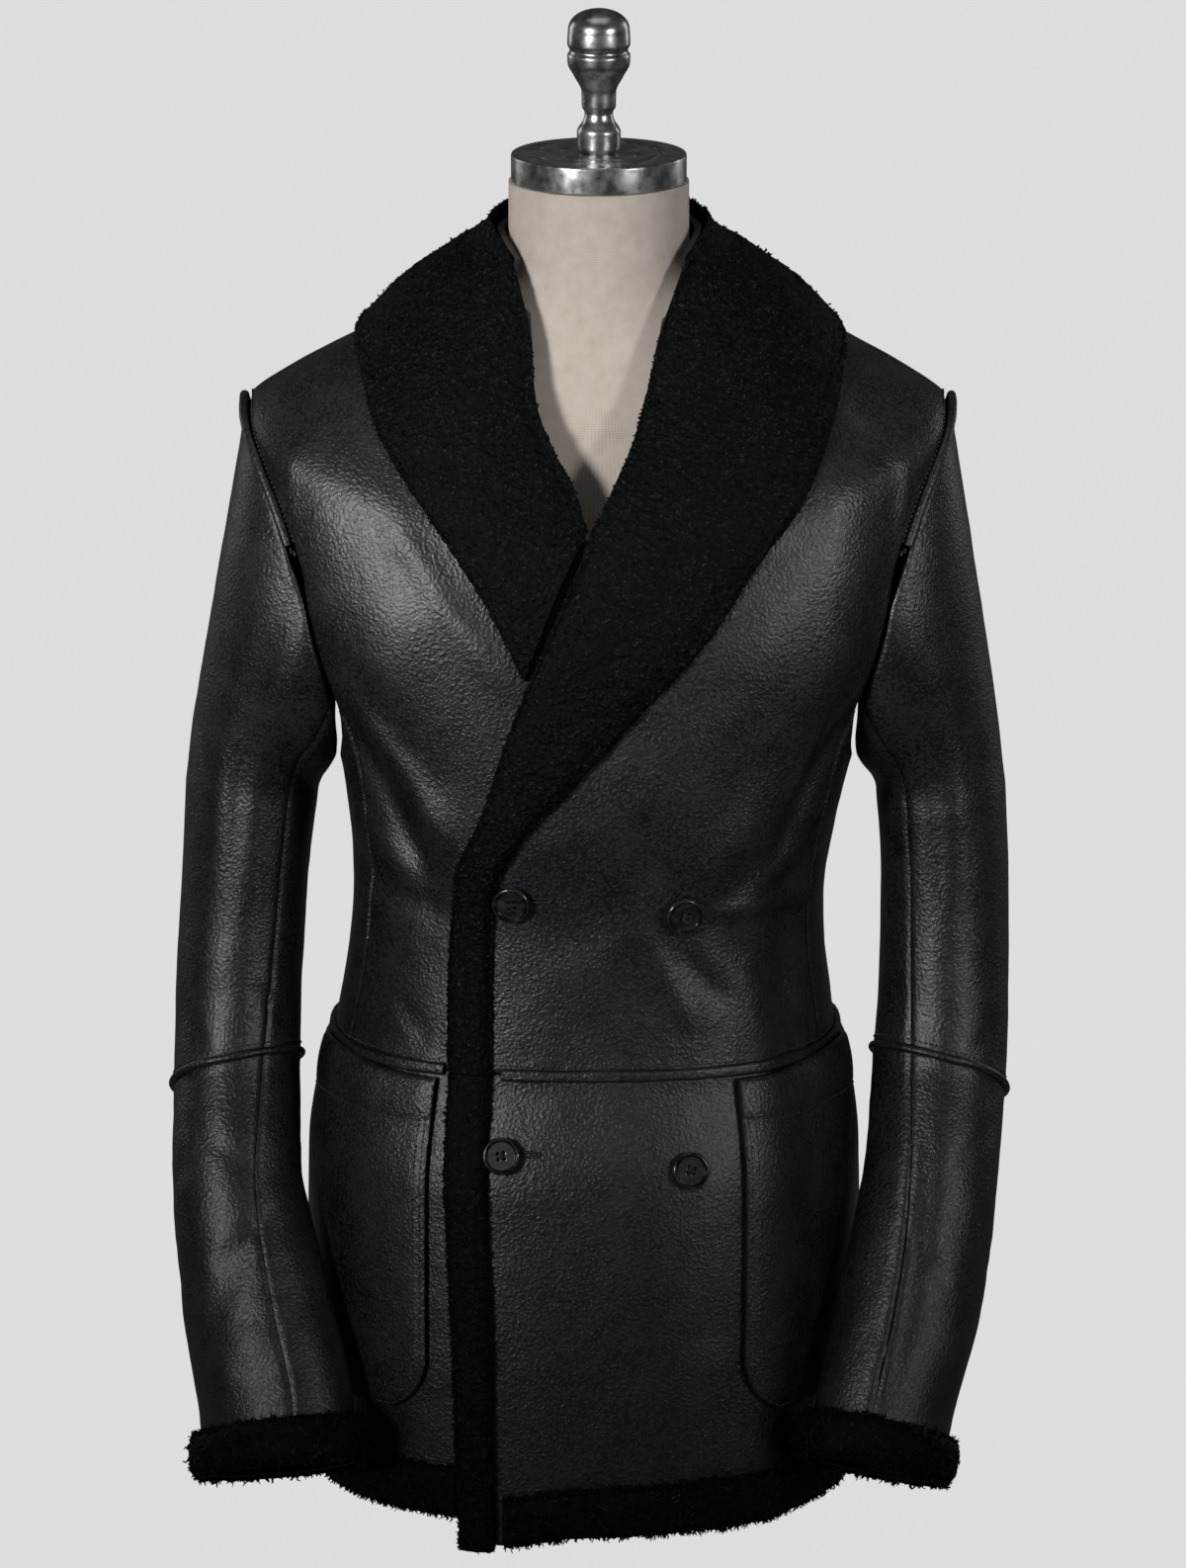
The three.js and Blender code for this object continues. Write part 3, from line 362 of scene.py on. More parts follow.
LEFT_FACING = table(
    FACING_COLUMNS,
    [
        (-27, 309.5, -17, 309.5, 0),
        (-29, 380, -18.6, 376, 0),
        (-28, 430, -18.8, 420, 0),
        (-20, 477, -13, 457, 0),
        (-11, 536, -3, 495, 0),
        (-6.5, 576, 4.5, 540, 0),
        (-2.4, 620, 14.5, 585, 0),
        (1, 667, 24, 630, 1),
        (9, 714, 40, 664, 3),
        (33, 760, 67, 692, 7),
        (62, 784, 88, 700, 12),
        (120, 785, 130, 706, 12),
        (179.5, 785, 179.5, 714, 10),
    ],
)
RIGHT_FACING = table(
    FACING_COLUMNS,
    [
        (-0.8, 650, -9, 560, 0),
        (-3, 674, -15, 607, 1),
        (-8.5, 697, -24, 646, 2),
        (-20.5, 729, -45, 676, 4),
        (-38, 760, -67, 694, 7),
        (-62, 784, -88, 700, 12),
        (-120, 785, -130, 706, 12),
        (-179.5, 785, -179.5, 714, 10),
    ],
)
LEFT_SKIRT_EDGE = table("level angle", [(5, -23), (120, -23.5), (235, -25.5), (309, -27)])
RIGHT_FRONT_EDGE = table(
    "level angle",
    [(309, 33), (425, 33), (470, 27), (560, 10), (650, -1.5), (674, -4.5), (697, -10), (729, -22), (760, -40)],
)
LEFT_HEM = table("angle level", [(-26, 12), (-18, 9), (-9, 13), (0, 18), (45, 21), (95, 23)])
SLEEVE_ROWS = table(
    "z right_x left_x y right_half left_half half_depth turn",
    [
        (34, -196, 167, -139, 51, 44.5, 38, 30),
        (90, -201, 179, -116, 51, 44.5, 39, 30),
        (150, -213.5, 195, -89, 48, 46, 41, 28),
        (235, -226.5, 210, -51, 40, 42, 44, 16),
        (285, -226.8, 214.5, -22, 39.5, 42, 47, 8),
        (335, -225.7, 217.5, -7, 39.5, 41, 50, 2),
        (400, -222, 218, 2, 39.5, 40, 53, 0),
        (462, -217, 215.2, 4, 41.5, 40.5, 55, 0),
    ],
)
# Creases of the sleeves, where an angle of 0 is outside, 90 in front and 180 at the body
RIGHT_SLEEVE_CREASES = table(
    CREASE_COLUMNS,
    [
        (79, 640, 80, 420, 5, -1.5),
        (62, 600, 64, 380, 8, 1),
        (96, 600, 96, 400, 7, 1.1),
        (112, 545, 160, 480, 8, -2.6),
        (112, 505, 150, 455, 6, -2),
        (30, 330, 75, 302, 6, -1.2),
        (108, 345, 152, 318, 5, -1.5),
        (58, 264, 122, 240, 6, -1.3),
        (142, 218, 84, 178, 7, -1.8),
        (112, 192, 68, 140, 8, -1.3),
        (60, 240, 20, 214, 6, -1),
        (122, 150, 60, 108, 9, 1.3),
        (-60, 330, -122, 300, 6, -1.5),
        (-70, 240, -130, 212, 7, -1.6),
        (-80, 520, -96, 420, 8, -1.3),
        (-130, 560, -162, 480, 8, -2.4),
    ],
)
LEFT_SLEEVE_CREASES = table(
    CREASE_COLUMNS,
    [
        (100, 600, 98, 390, 6, -1.2),
        (76, 620, 75, 410, 9, 1.2),
        (116, 560, 162, 486, 8, -2.4),
        (114, 500, 152, 452, 6, -1.7),
        (132, 270, 131, 100, 9, 1.6),
        (113, 262, 115, 120, 7, -1.2),
        (40, 262, 96, 240, 6, -1),
        (36, 322, 80, 300, 6, -0.9),
        (130, 206, 84, 168, 7, -1),
        (84, 150, 40, 112, 9, 0.9),
        (-62, 326, -118, 300, 6, -1.4),
        (-72, 244, -128, 216, 7, -1.5),
        (-82, 530, -98, 424, 8, -1.4),
        (-132, 556, -160, 486, 8, -2.2),
    ],
)


def linear(colour: str) -> tuple[float, float, float, float]:
    """Turns an sRGB hex colour such as "1a2b3c" into linear light with an alpha of 1."""
    parts = [int(colour[i : i + 2], 16) / 255 for i in (0, 2, 4)]
    light = [p / 12.92 if p <= 0.04045 else ((p + 0.055) / 1.055) ** 2.4 for p in parts]
    return (*light, 1.0)


def add(tree: bpy.types.NodeTree, kind: str, inputs: dict | None = None, **settings: object) -> bpy.types.Node:
    """Adds a node with its settings, values and links.

    Args:
        tree: The material's node tree.
        kind: The node's type.
        inputs: A value, or the output socket to link, for each input by name or number.
        settings: The node's own settings.
    Returns:
        The node.
    """
    made = tree.nodes.new(kind)
    for key, value in settings.items():
        setattr(made, key, value)
    for key, value in (inputs or {}).items():
        if isinstance(value, bpy.types.NodeSocket):
            tree.links.new(value, made.inputs[key])
        else:
            made.inputs[key].default_value = value
    return made


def ramp_colours(node: bpy.types.Node, stops: Sequence[tuple[float, str]]) -> bpy.types.NodeSocket:
    """Fills a colour ramp with its first and last hex colours and those between, and gives its colour socket."""
    elements = node.color_ramp.elements
    for index, (place, colour) in enumerate(stops):
        element = elements[index] if index < 2 else elements.new(place)
        element.position, element.color = place, linear(colour)
    return node.outputs["Color"]


@dataclass(frozen=True)
class Finish:
    """A finish with its name and the surface's constant values."""

    name: str

    def start(self) -> tuple[bpy.types.Material, bpy.types.NodeTree, bpy.types.Node]:
        """A new node material with its principled shader."""
        made = bpy.data.materials.new(self.name)
        made.use_nodes = True
        return made, made.node_tree, made.node_tree.nodes["Principled BSDF"]

    def set(self, shader: bpy.types.Node, **values: object) -> None:
        """Sets constant values on the shader's own sockets, an underscore standing for a space."""
        for key, value in values.items():
            shader.inputs[key.replace("_", " ")].default_value = value


@dataclass(frozen=True)
class NappaLeather(Finish):
    """Sheepskin with a polished black finish on its skin side. The finish gives a soft satin sheen over a fine
    pebbled grain, with slightly duller and shinier places where the skin was stretched."""

    dark: str = "050506"
    light: str = "24242a"
    grain: float = 1.9  # mm; drawn coarser than the real 0.6 mm so that it shows
    pores: float = 1.3  # mm
    mottle: float = 26.0  # mm
    sheen: str = "34343a"

    def material(self) -> bpy.types.Material:
        """Builds the node material."""
        made, tree, shader = self.start()
        place = add(tree, "ShaderNodeTexCoord").outputs["Object"]
        cloud = add(tree, "ShaderNodeTexNoise", {"Vector": place, "Scale": 1 / (self.mottle * MM), "Detail": 3.0})
        pebble = add(
            tree,
            "ShaderNodeTexVoronoi",
            {"Vector": place, "Scale": 1 / (self.grain * MM), "Randomness": 1.0},
            feature="SMOOTH_F1",
        )
        uneven = add(
            tree, "ShaderNodeMath", {0: cloud.outputs["Fac"], 1: pebble.outputs["Distance"]}, operation="MULTIPLY"
        )
        tone = ramp_colours(
            add(tree, "ShaderNodeValToRGB", {"Fac": uneven.outputs["Value"]}), [(0.08, self.light), (0.3, self.dark)]
        )
        pore = add(
            tree, "ShaderNodeTexNoise", {"Vector": place, "Scale": 1 / (self.pores * MM), "Detail": 3.0, "Roughness": 0.6}
        )
        wrinkle = add(
            tree, "ShaderNodeTexNoise", {"Vector": place, "Scale": 1 / (4.2 * MM), "Detail": 5.0, "Roughness": 0.6}
        )
        fine = add(tree, "ShaderNodeBump", {"Height": pebble.outputs["Distance"], "Strength": 0.62, "Distance": 0.6 * MM})
        open_pores = add(
            tree,
            "ShaderNodeBump",
            {"Height": pore.outputs["Fac"], "Strength": 0.5, "Distance": 0.6 * MM, "Normal": fine.outputs["Normal"]},
        )
        soft = add(
            tree,
            "ShaderNodeBump",
            {"Height": wrinkle.outputs["Fac"], "Strength": 0.13, "Distance": 0.7 * MM,
             "Normal": open_pores.outputs["Normal"]},
        )
        gloss = add(
            tree,
            "ShaderNodeMapRange",
            {"Value": wrinkle.outputs["Fac"], "From Min": 0.3, "From Max": 0.7, "To Min": 0.33, "To Max": 0.43},
        )
        tree.links.new(tone, shader.inputs["Base Color"])
        tree.links.new(gloss.outputs["Result"], shader.inputs["Roughness"])
        tree.links.new(soft.outputs["Normal"], shader.inputs["Normal"])
        self.set(shader, IOR=1.6, Sheen_Weight=0.03, Sheen_Roughness=0.45, Sheen_Tint=linear(self.sheen))
        return made


@dataclass(frozen=True)
class CurlyFur(Finish):
    """Dyed black lambswool, clipped short, with a cold green cast. Light and shade are painted into its colour:
    a painted highlight on the tips of the tight curls and painted shade, nearly black, between them."""

    # Colours of the fur: painted shade between the curls, the wool's own colour, and a painted highlight on the curl
    # tips.
    painted_crevice_shade: str = "010101"
    body: str = "0a0f10"
    painted_tip_highlight: str = "374749"
    curl: float = 2.3  # mm, drawn a little larger than single curls
    fibre: float = 0.55  # mm

    def material(self) -> bpy.types.Material:
        """Builds the node material. An attribute on the points holds the height of the tufts, 0 between and 1 on top;
        with the curls' own height it sets the painted shade between them and the painted highlight on their tips.
        """
        made, tree, shader = self.start()
        place = add(tree, "ShaderNodeTexCoord").outputs["Object"]
        pile_and_shade = add(tree, "ShaderNodeAttribute", attribute_name="pile_and_shade").outputs["Fac"]
        warp = add(tree, "ShaderNodeTexNoise", {"Vector": place, "Scale": 1 / (3.0 * MM), "Detail": 2.0})
        bent = add(
            tree,
            "ShaderNodeVectorMath",
            {0: warp.outputs["Color"], 1: (0.0022, 0.0022, 0.0022)},
            operation="MULTIPLY",
        )
        moved = add(tree, "ShaderNodeVectorMath", {0: place, 1: bent.outputs["Vector"]}, operation="ADD")
        curl = add(
            tree, "ShaderNodeTexVoronoi", {"Vector": moved.outputs["Vector"], "Scale": 1 / (self.curl * MM)}
        ).outputs["Distance"]
        fibre = add(
            tree, "ShaderNodeTexNoise", {"Vector": moved.outputs["Vector"], "Scale": 1 / (self.fibre * MM), "Detail": 2.0}
        ).outputs["Fac"]
        # The curls' height times the tufts' height picks the colour: painted shade deep in the hollows, painted
        # highlight on the crests.
        crest = add(tree, "ShaderNodeMath", {0: 0.75, 1: curl}, operation="SUBTRACT")
        height = add(tree, "ShaderNodeMath", {0: crest.outputs["Value"], 1: fibre}, operation="MULTIPLY")
        lit = add(tree, "ShaderNodeMath", {0: height.outputs["Value"], 1: pile_and_shade}, operation="MULTIPLY")
        tone = ramp_colours(
            add(tree, "ShaderNodeValToRGB", {"Fac": lit.outputs["Value"]}),
            [(0.03, self.painted_crevice_shade), (0.34, self.painted_tip_highlight), (0.15, self.body)],
        )
        bump = add(tree, "ShaderNodeBump", {"Height": height.outputs["Value"], "Strength": 0.9, "Distance": 1.6 * MM})
        tree.links.new(tone, shader.inputs["Base Color"])
        tree.links.new(bump.outputs["Normal"], shader.inputs["Normal"])
        self.set(shader, Roughness=0.62, IOR=1.45, Specular_IOR_Level=0.12)
        return made


@dataclass(frozen=True)
class PolishedHorn(Finish):
    """Buffalo horn, turned and polished. It is nearly black, with thin grey-brown streaks under a glossy surface."""

    dark: str = "100f0f"
    streak: str = "3a3430"

    def material(self) -> bpy.types.Material:
        """Builds the node material."""
        made, tree, shader = self.start()
        place = add(tree, "ShaderNodeTexCoord").outputs["Object"]
        stretched = add(tree, "ShaderNodeMapping", {"Vector": place, "Rotation": (0.3, 0.2, 0.6), "Scale": (90, 700, 300)})
        cloud = add(tree, "ShaderNodeTexNoise", {"Vector": stretched.outputs["Vector"], "Scale": 1.0, "Detail": 4.0})
        tone = ramp_colours(
            add(tree, "ShaderNodeValToRGB", {"Fac": cloud.outputs["Fac"]}), [(0.42, self.dark), (0.75, self.streak)]
        )
        bump = add(tree, "ShaderNodeBump", {"Height": cloud.outputs["Fac"], "Strength": 0.08, "Distance": 0.2 * MM})
        tree.links.new(tone, shader.inputs["Base Color"])
        tree.links.new(bump.outputs["Normal"], shader.inputs["Normal"])
        self.set(shader, Roughness=0.22, IOR=1.55, Coat_Weight=0.35, Coat_Roughness=0.12)
        return made


@dataclass(frozen=True)
class PlainLinen(Finish):
    """Unbleached linen drawn tight over the form in a plain weave, matt and slightly slubby."""

    thread: str = "cdc2b7"
    shade: str = "b3a698"
    pitch: float = 1.4  # mm; drawn coarser than the real 0.7 mm so that it shows

    def material(self) -> bpy.types.Material:
        """Builds the node material; the weave follows the form's own UV map, in metres."""
        made, tree, shader = self.start()
        uv = add(tree, "ShaderNodeUVMap", uv_map="cloth").outputs["UV"]
        place = add(tree, "ShaderNodeTexCoord").outputs["Object"]
        scale = 2 * math.pi / (self.pitch * MM) / 20  # a wave texture repeats 20 units to a turn
        warp = add(tree, "ShaderNodeTexWave", {"Vector": uv, "Scale": scale, "Distortion": 0.6}, bands_direction="X")
        weft = add(tree, "ShaderNodeTexWave", {"Vector": uv, "Scale": scale, "Distortion": 0.6}, bands_direction="Y")
        weave = add(tree, "ShaderNodeMath", {0: warp.outputs["Fac"], 1: weft.outputs["Fac"]}, operation="MULTIPLY")
        slub = add(tree, "ShaderNodeTexNoise", {"Vector": place, "Scale": 1 / (9 * MM), "Detail": 4.0})
        both = add(
            tree, "ShaderNodeMath", {0: weave.outputs["Value"], 1: slub.outputs["Fac"]}, operation="ADD", use_clamp=True
        )
        tone = ramp_colours(
            add(tree, "ShaderNodeValToRGB", {"Fac": both.outputs["Value"]}), [(0.25, self.shade), (0.8, self.thread)]
        )
        bump = add(tree, "ShaderNodeBump", {"Height": weave.outputs["Value"], "Strength": 0.35, "Distance": 0.3 * MM})
        tree.links.new(tone, shader.inputs["Base Color"])
        tree.links.new(bump.outputs["Normal"], shader.inputs["Normal"])
        self.set(shader, Roughness=0.9, IOR=1.45, Sheen_Weight=0.15, Specular_IOR_Level=0.25)
        return made


@dataclass(frozen=True)
class SpunSteel(Finish):
    """Nickel-plated steel, spun on a lathe. Fine circular tool marks soften its mirror into rings of light."""

    colour: str = "c9c9c8"
    worn: str = "8f8e8c"

    def material(self) -> bpy.types.Material:
        """Builds the node material."""
        made, tree, shader = self.start()
        place = add(tree, "ShaderNodeTexCoord").outputs["Object"]
        # The turned parts share the frame's z axis, so distance from it plus height counts the lathe's rings.
        flat = add(tree, "ShaderNodeVectorMath", {0: place, 1: (1.0, 1.0, 0.0)}, operation="MULTIPLY")
        radius = add(tree, "ShaderNodeVectorMath", {0: flat.outputs["Vector"]}, operation="LENGTH").outputs["Value"]
        height = add(tree, "ShaderNodeSeparateXYZ", {"Vector": place}).outputs["Z"]
        run = add(tree, "ShaderNodeMath", {0: radius, 1: height}, operation="ADD").outputs["Value"]
        rings = add(
            tree, "ShaderNodeTexNoise", {"W": run, "Scale": 1 / (0.9 * MM), "Detail": 3.0}, noise_dimensions="1D"
        )
        cast = add(tree, "ShaderNodeTexNoise", {"Vector": place, "Scale": 1 / (7 * MM), "Detail": 5.0})
        gloss = add(tree, "ShaderNodeMapRange", {"Value": cast.outputs["Fac"], "To Min": 0.22, "To Max": 0.38})
        tone = ramp_colours(
            add(tree, "ShaderNodeValToRGB", {"Fac": cast.outputs["Fac"]}), [(0.35, self.worn), (0.6, self.colour)]
        )
        marks = add(tree, "ShaderNodeBump", {"Height": rings.outputs["Fac"], "Strength": 0.16, "Distance": 0.1 * MM})
        bump = add(
            tree,
            "ShaderNodeBump",
            {"Height": cast.outputs["Fac"], "Strength": 0.1, "Distance": 0.4 * MM, "Normal": marks.outputs["Normal"]},
        )
        tree.links.new(tone, shader.inputs["Base Color"])
        tree.links.new(gloss.outputs["Result"], shader.inputs["Roughness"])
        tree.links.new(bump.outputs["Normal"], shader.inputs["Normal"])
        self.set(shader, Metallic=1.0)
        return made


@dataclass(frozen=True)
class WaxedThread(Finish):
    """Black waxed polyester thread, three-ply, with a dull gleam on each raised stitch."""

    dark: str = "12141c"
    light: str = "3a3f4e"

    def material(self) -> bpy.types.Material:
        """Builds the node material."""
        made, tree, shader = self.start()
        place = add(tree, "ShaderNodeTexCoord").outputs["Object"]
        ply = add(tree, "ShaderNodeTexNoise", {"Vector": place, "Scale": 1 / (0.6 * MM), "Detail": 2.0})
        tone = ramp_colours(
            add(tree, "ShaderNodeValToRGB", {"Fac": ply.outputs["Fac"]}), [(0.35, self.dark), (0.7, self.light)]
        )
        bump = add(tree, "ShaderNodeBump", {"Height": ply.outputs["Fac"], "Strength": 0.5, "Distance": 0.2 * MM})
        tree.links.new(tone, shader.inputs["Base Color"])
        tree.links.new(bump.outputs["Normal"], shader.inputs["Normal"])
        self.set(shader, Roughness=0.45, IOR=1.5)
        return made


@dataclass
class Wardrobe:
    """The materials of the coat and its form, each made once."""

    leather: bpy.types.Material = field(default_factory=lambda: NappaLeather("nappa leather").material())
    fur: bpy.types.Material = field(default_factory=lambda: CurlyFur("curly lambswool").material())
    horn: bpy.types.Material = field(default_factory=lambda: PolishedHorn("polished horn").material())
    linen: bpy.types.Material = field(default_factory=lambda: PlainLinen("plain linen").material())
    steel: bpy.types.Material = field(default_factory=lambda: SpunSteel("spun steel").material())
    thread: bpy.types.Material = field(default_factory=lambda: WaxedThread("waxed thread").material())
    twist: bpy.types.Material = field(
        default_factory=lambda: WaxedThread("buttonhole twist", "050506", "111114").material()
    )


def signed_volume(points: Array, faces: Sequence[Sequence[int]]) -> float:
    """Six times the volume inside a closed mesh of faces, each cut into a fan of triangles."""
    total = 0.0
    for size in {len(face) for face in faces}:
        corners = points[np.array([face for face in faces if len(face) == size])]
        for k in range(1, size - 1):
            total += np.einsum("ij,ij->", corners[:, 0], np.cross(corners[:, k], corners[:, k + 1]))
    return total


def make_mesh(
    name: str, points: Array, faces: list[list[int]], materials: Sequence[bpy.types.Material], crisp: float = 180.0
) -> bpy.types.Object:
    """Makes an object of a closed mesh, with its faces turned outwards.

    Args:
        name: The piece's name.
        points: Its points in millimetres.
        faces: Its faces, all wound alike.
        materials: Its materials.
        crisp: Edges bent by more degrees than this stay sharp.
    Returns:
        The object, riding on the part.
    """
    centred = points - points.mean(0)
    if signed_volume(centred, faces) < 0:
        faces = [face[::-1] for face in faces]
    mesh = bpy.data.meshes.new(name)
    mesh.from_pydata(points * MM, [], faces)
    mesh.polygons.foreach_set("use_smooth", np.ones(len(faces), bool))
    if crisp < 180:
        mesh.set_sharp_from_angle(angle=math.radians(crisp))
    for material in materials:
        mesh.materials.append(material)
    piece = bpy.data.objects.new(name, mesh)
    bpy.context.scene.collection.objects.link(piece)
    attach(piece, "root")
    log.info("%s: %d faces", name, len(faces))
    return piece


@dataclass
class Shell:
    """A wall between an outer and an inner grid of points, closed round its rims.

    Both grids have the same rows. The inner one may have fewer columns, so its ends are closed by one face each.
    """

    outer: Array
    inner: Array
    ring: bool = False
    inner_from: int = field(default=0, init=False)
    inner_to: int = field(default=0, init=False)

    def faces(self) -> list[list[int]]:
        """The faces of the outer grid, the inner grid and the rims, in that order."""
        (rows, across, _), (_, few, _) = self.outer.shape, self.inner.shape
        out = np.arange(rows * across).reshape(rows, across)
        inn = out.size + np.arange(rows * few).reshape(rows, few)
        if self.ring:
            out, inn = np.vstack([out, out[:1]]), np.vstack([inn, inn[:1]])

        def quads(a: Array, b: Array, c: Array, d: Array) -> list[list[int]]:
            """Lists the quads with these corners."""
            return np.stack([a, b, c, d], -1).reshape(-1, 4).tolist()

        made = quads(out[:-1, :-1], out[:-1, 1:], out[1:, 1:], out[1:, :-1])
        self.inner_from = len(made)
        made += quads(inn[:-1, :-1], inn[1:, :-1], inn[1:, 1:], inn[:-1, 1:])
        self.inner_to = len(made)
        made += quads(out[:-1, 0], out[1:, 0], inn[1:, 0], inn[:-1, 0])
        made += quads(out[:-1, -1], inn[:-1, -1], inn[1:, -1], out[1:, -1])
        if not self.ring:
            made.append([*inn[0].tolist(), *out[0, ::-1].tolist()])
            made.append([*out[-1].tolist(), *inn[-1, ::-1].tolist()])
        return made

    def cut(self) -> tuple[tuple[float, float], float]:
        """The size of the cut piece, from the lengths along the middle of the wall.

        Returns:
            Its width and length rounded up to 5 mm, and its area, in metres.
        """
        columns = np.linspace(0, self.outer.shape[1] - 1, self.inner.shape[1]).round().astype(int)
        middle = (self.outer[:, columns] + self.inner) / 2
        if self.ring:
            middle = np.concatenate([middle, middle[:1]])
        width = np.linalg.norm(np.diff(middle, axis=1), axis=-1).sum(1).max()
        length = np.linalg.norm(np.diff(middle, axis=0), axis=-1).sum(0).max()
        one, two = np.diff(middle, axis=1)[:-1], np.diff(middle, axis=0)[:, :-1]
        area = np.linalg.norm(np.cross(one, two), axis=-1).sum()
        size = tuple(math.ceil(x / 5) * 5 * MM for x in (width, length))
        return size, float(min(area * MM * MM, size[0] * size[1]))

    def build(
        self, name: str, outside: bpy.types.Material, inside: bpy.types.Material, held: Held, rests_on: Sequence[str]
    ) -> bpy.types.Object:
        """Args:
            name: The piece's and its solid's name, but for the word "dressed".
            outside: The outer material.
            inside: The material of the inner side.
            held: How it is held; not used.
            rests_on: What it lies on; not used.
        Returns:
            The object.
        """
        faces = self.faces()
        points = np.concatenate([self.outer.reshape(-1, 3), self.inner.reshape(-1, 3)])
        piece = make_mesh(f"{name}_dressed", points, faces, [outside, inside], 62)
        index = np.zeros(len(faces), np.int32)
        index[self.inner_from : self.inner_to] = 1
        piece.data.polygons.foreach_set("material_index", index)
        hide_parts(name)
        flat, area = self.cut()
        return piece


@dataclass
class Wool:
    """The relief of curly fur: large and small tufts on a soft swell, pushed a little sideways."""

    tuft: float = 3.3
    curl: float = 1.9
    swell: float = 15.0
    height: float = 1.5
    shift: float = 0.5

    def ruffle(self, points: Array, normals: Array, strength: Array | float = 1.0) -> tuple[Array, Array]:
        """Moves a fur surface into tufts.

        The lift is height·(0.75·T + 0.35·C - 0.5) + 0.6·S for tufts T, curls C and swell S.

        Args:
            points: The smooth surface.
            normals: Its unit normals.
            strength: How much of the relief each point gets.
        Returns:
            The moved points, and the height of the tufts from 0 to 1, which also sets the fur's painted shade and
            painted highlight.
        """
        big, small = tufts(points, self.tuft, 1), tufts(points, self.curl, 11)
        pile_and_shade = 0.75 * big + 0.35 * small
        lift = self.height * (pile_and_shade - 0.5) + 0.6 * lumps(points, self.swell, 21)
        aside = np.stack([lumps(points, 2.3, 31 + k) for k in range(3)], -1) * self.shift
        strength = np.asarray(strength)[..., None]
        # The returned height of the tufts sets the fur's painted shade between the tufts and painted highlight on them.
        return points + (normals * lift[..., None] + aside) * strength, np.clip(pile_and_shade * 1.25 - 0.1, 0, 1)


@dataclass
class Locks:
    """Small separate locks of wool, each a curled, tapering cord of three sides."""

    length: tuple[float, float] = (1.7, 3.3)
    root: float = 1.05
    rings: int = 4

    def build(
        self, name: str, roots: Array, normals: Array, lean: Array, material: bpy.types.Material, scale: float
    ) -> bpy.types.Object:
        """Makes one joined mesh of all locks.

        A lock follows root + n·L·t + s·0.55·L·t² + q·0.22·L·sin(2.4πt) with n its direction, s and q across it.

        Args:
            name: The piece's name.
            roots: Where the locks grow.
            normals: The surface's normals there.
            lean: A direction that each lock leans to.
            material: The fur.
            scale: How long the locks are for their usual length.
        Returns:
            The object.
        """
        rng = np.random.default_rng(len(roots))
        count = len(roots)
        out = unit(normals + 0.55 * lean + 0.45 * rng.normal(size=(count, 3)))
        side = unit(np.cross(out, rng.normal(size=(count, 3))))
        over = np.cross(out, side)
        long = scale * rng.uniform(*self.length, (count, 1, 1))
        t = np.linspace(0, 1, self.rings)[None, :, None]
        path = (
            roots[:, None]
            - 0.6 * out[:, None]
            + out[:, None] * long * t
            + side[:, None] * 0.55 * long * t * t
            + over[:, None] * 0.22 * long * np.sin(2.4 * math.pi * t)
        )
        turn = np.linspace(0, 2 * math.pi, 3, endpoint=False)[None, None, :, None]
        radius = self.root * rng.uniform(0.7, 1.15, (count, 1, 1, 1)) * (1 - 0.68 * t[..., None] ** 1.5)
        across = side[:, None, None] * np.cos(turn) + over[:, None, None] * np.sin(turn)
        points = path[:, :, None] + across * radius
        index = np.arange(count * self.rings * 3).reshape(count, self.rings, 3)
        quads = tube_quads(index)
        ends = index[:, 0, ::-1].tolist() + index[:, -1].tolist()
        piece = make_mesh(name, points.reshape(-1, 3), quads + ends, [material])
        # Locks are painted lighter towards their ends: a painted highlight on their tips, over the fur's painted shade.
        pile_and_shade = np.broadcast_to(0.6 + 0.3 * t[..., None], (count, self.rings, 3, 1)).reshape(-1)
        store_pile_and_shade(piece, pile_and_shade)
        return piece


def tube_quads(index: Array) -> list[list[int]]:
    """The quads between rings of points, whose numbers run along the last axis and the rings along the one before."""
    after = np.roll(index, -1, axis=-1)
    low, high = (..., slice(None, -1), slice(None)), (..., slice(1, None), slice(None))
    return np.stack([index[low], after[low], after[high], index[high]], -1).reshape(-1, 4).tolist()


def store_pile_and_shade(piece: bpy.types.Object, pile_and_shade: Array) -> None:
    """Keeps the height of the tufts on a piece's points, for the fur's painted shade and painted highlight; points
    beyond them get 0.55.
    """
    values = np.full(len(piece.data.vertices), 0.55, np.float32)
    values[: len(pile_and_shade)] = pile_and_shade
    piece.data.attributes.new("pile_and_shade", "FLOAT", "POINT").data.foreach_set("value", values)


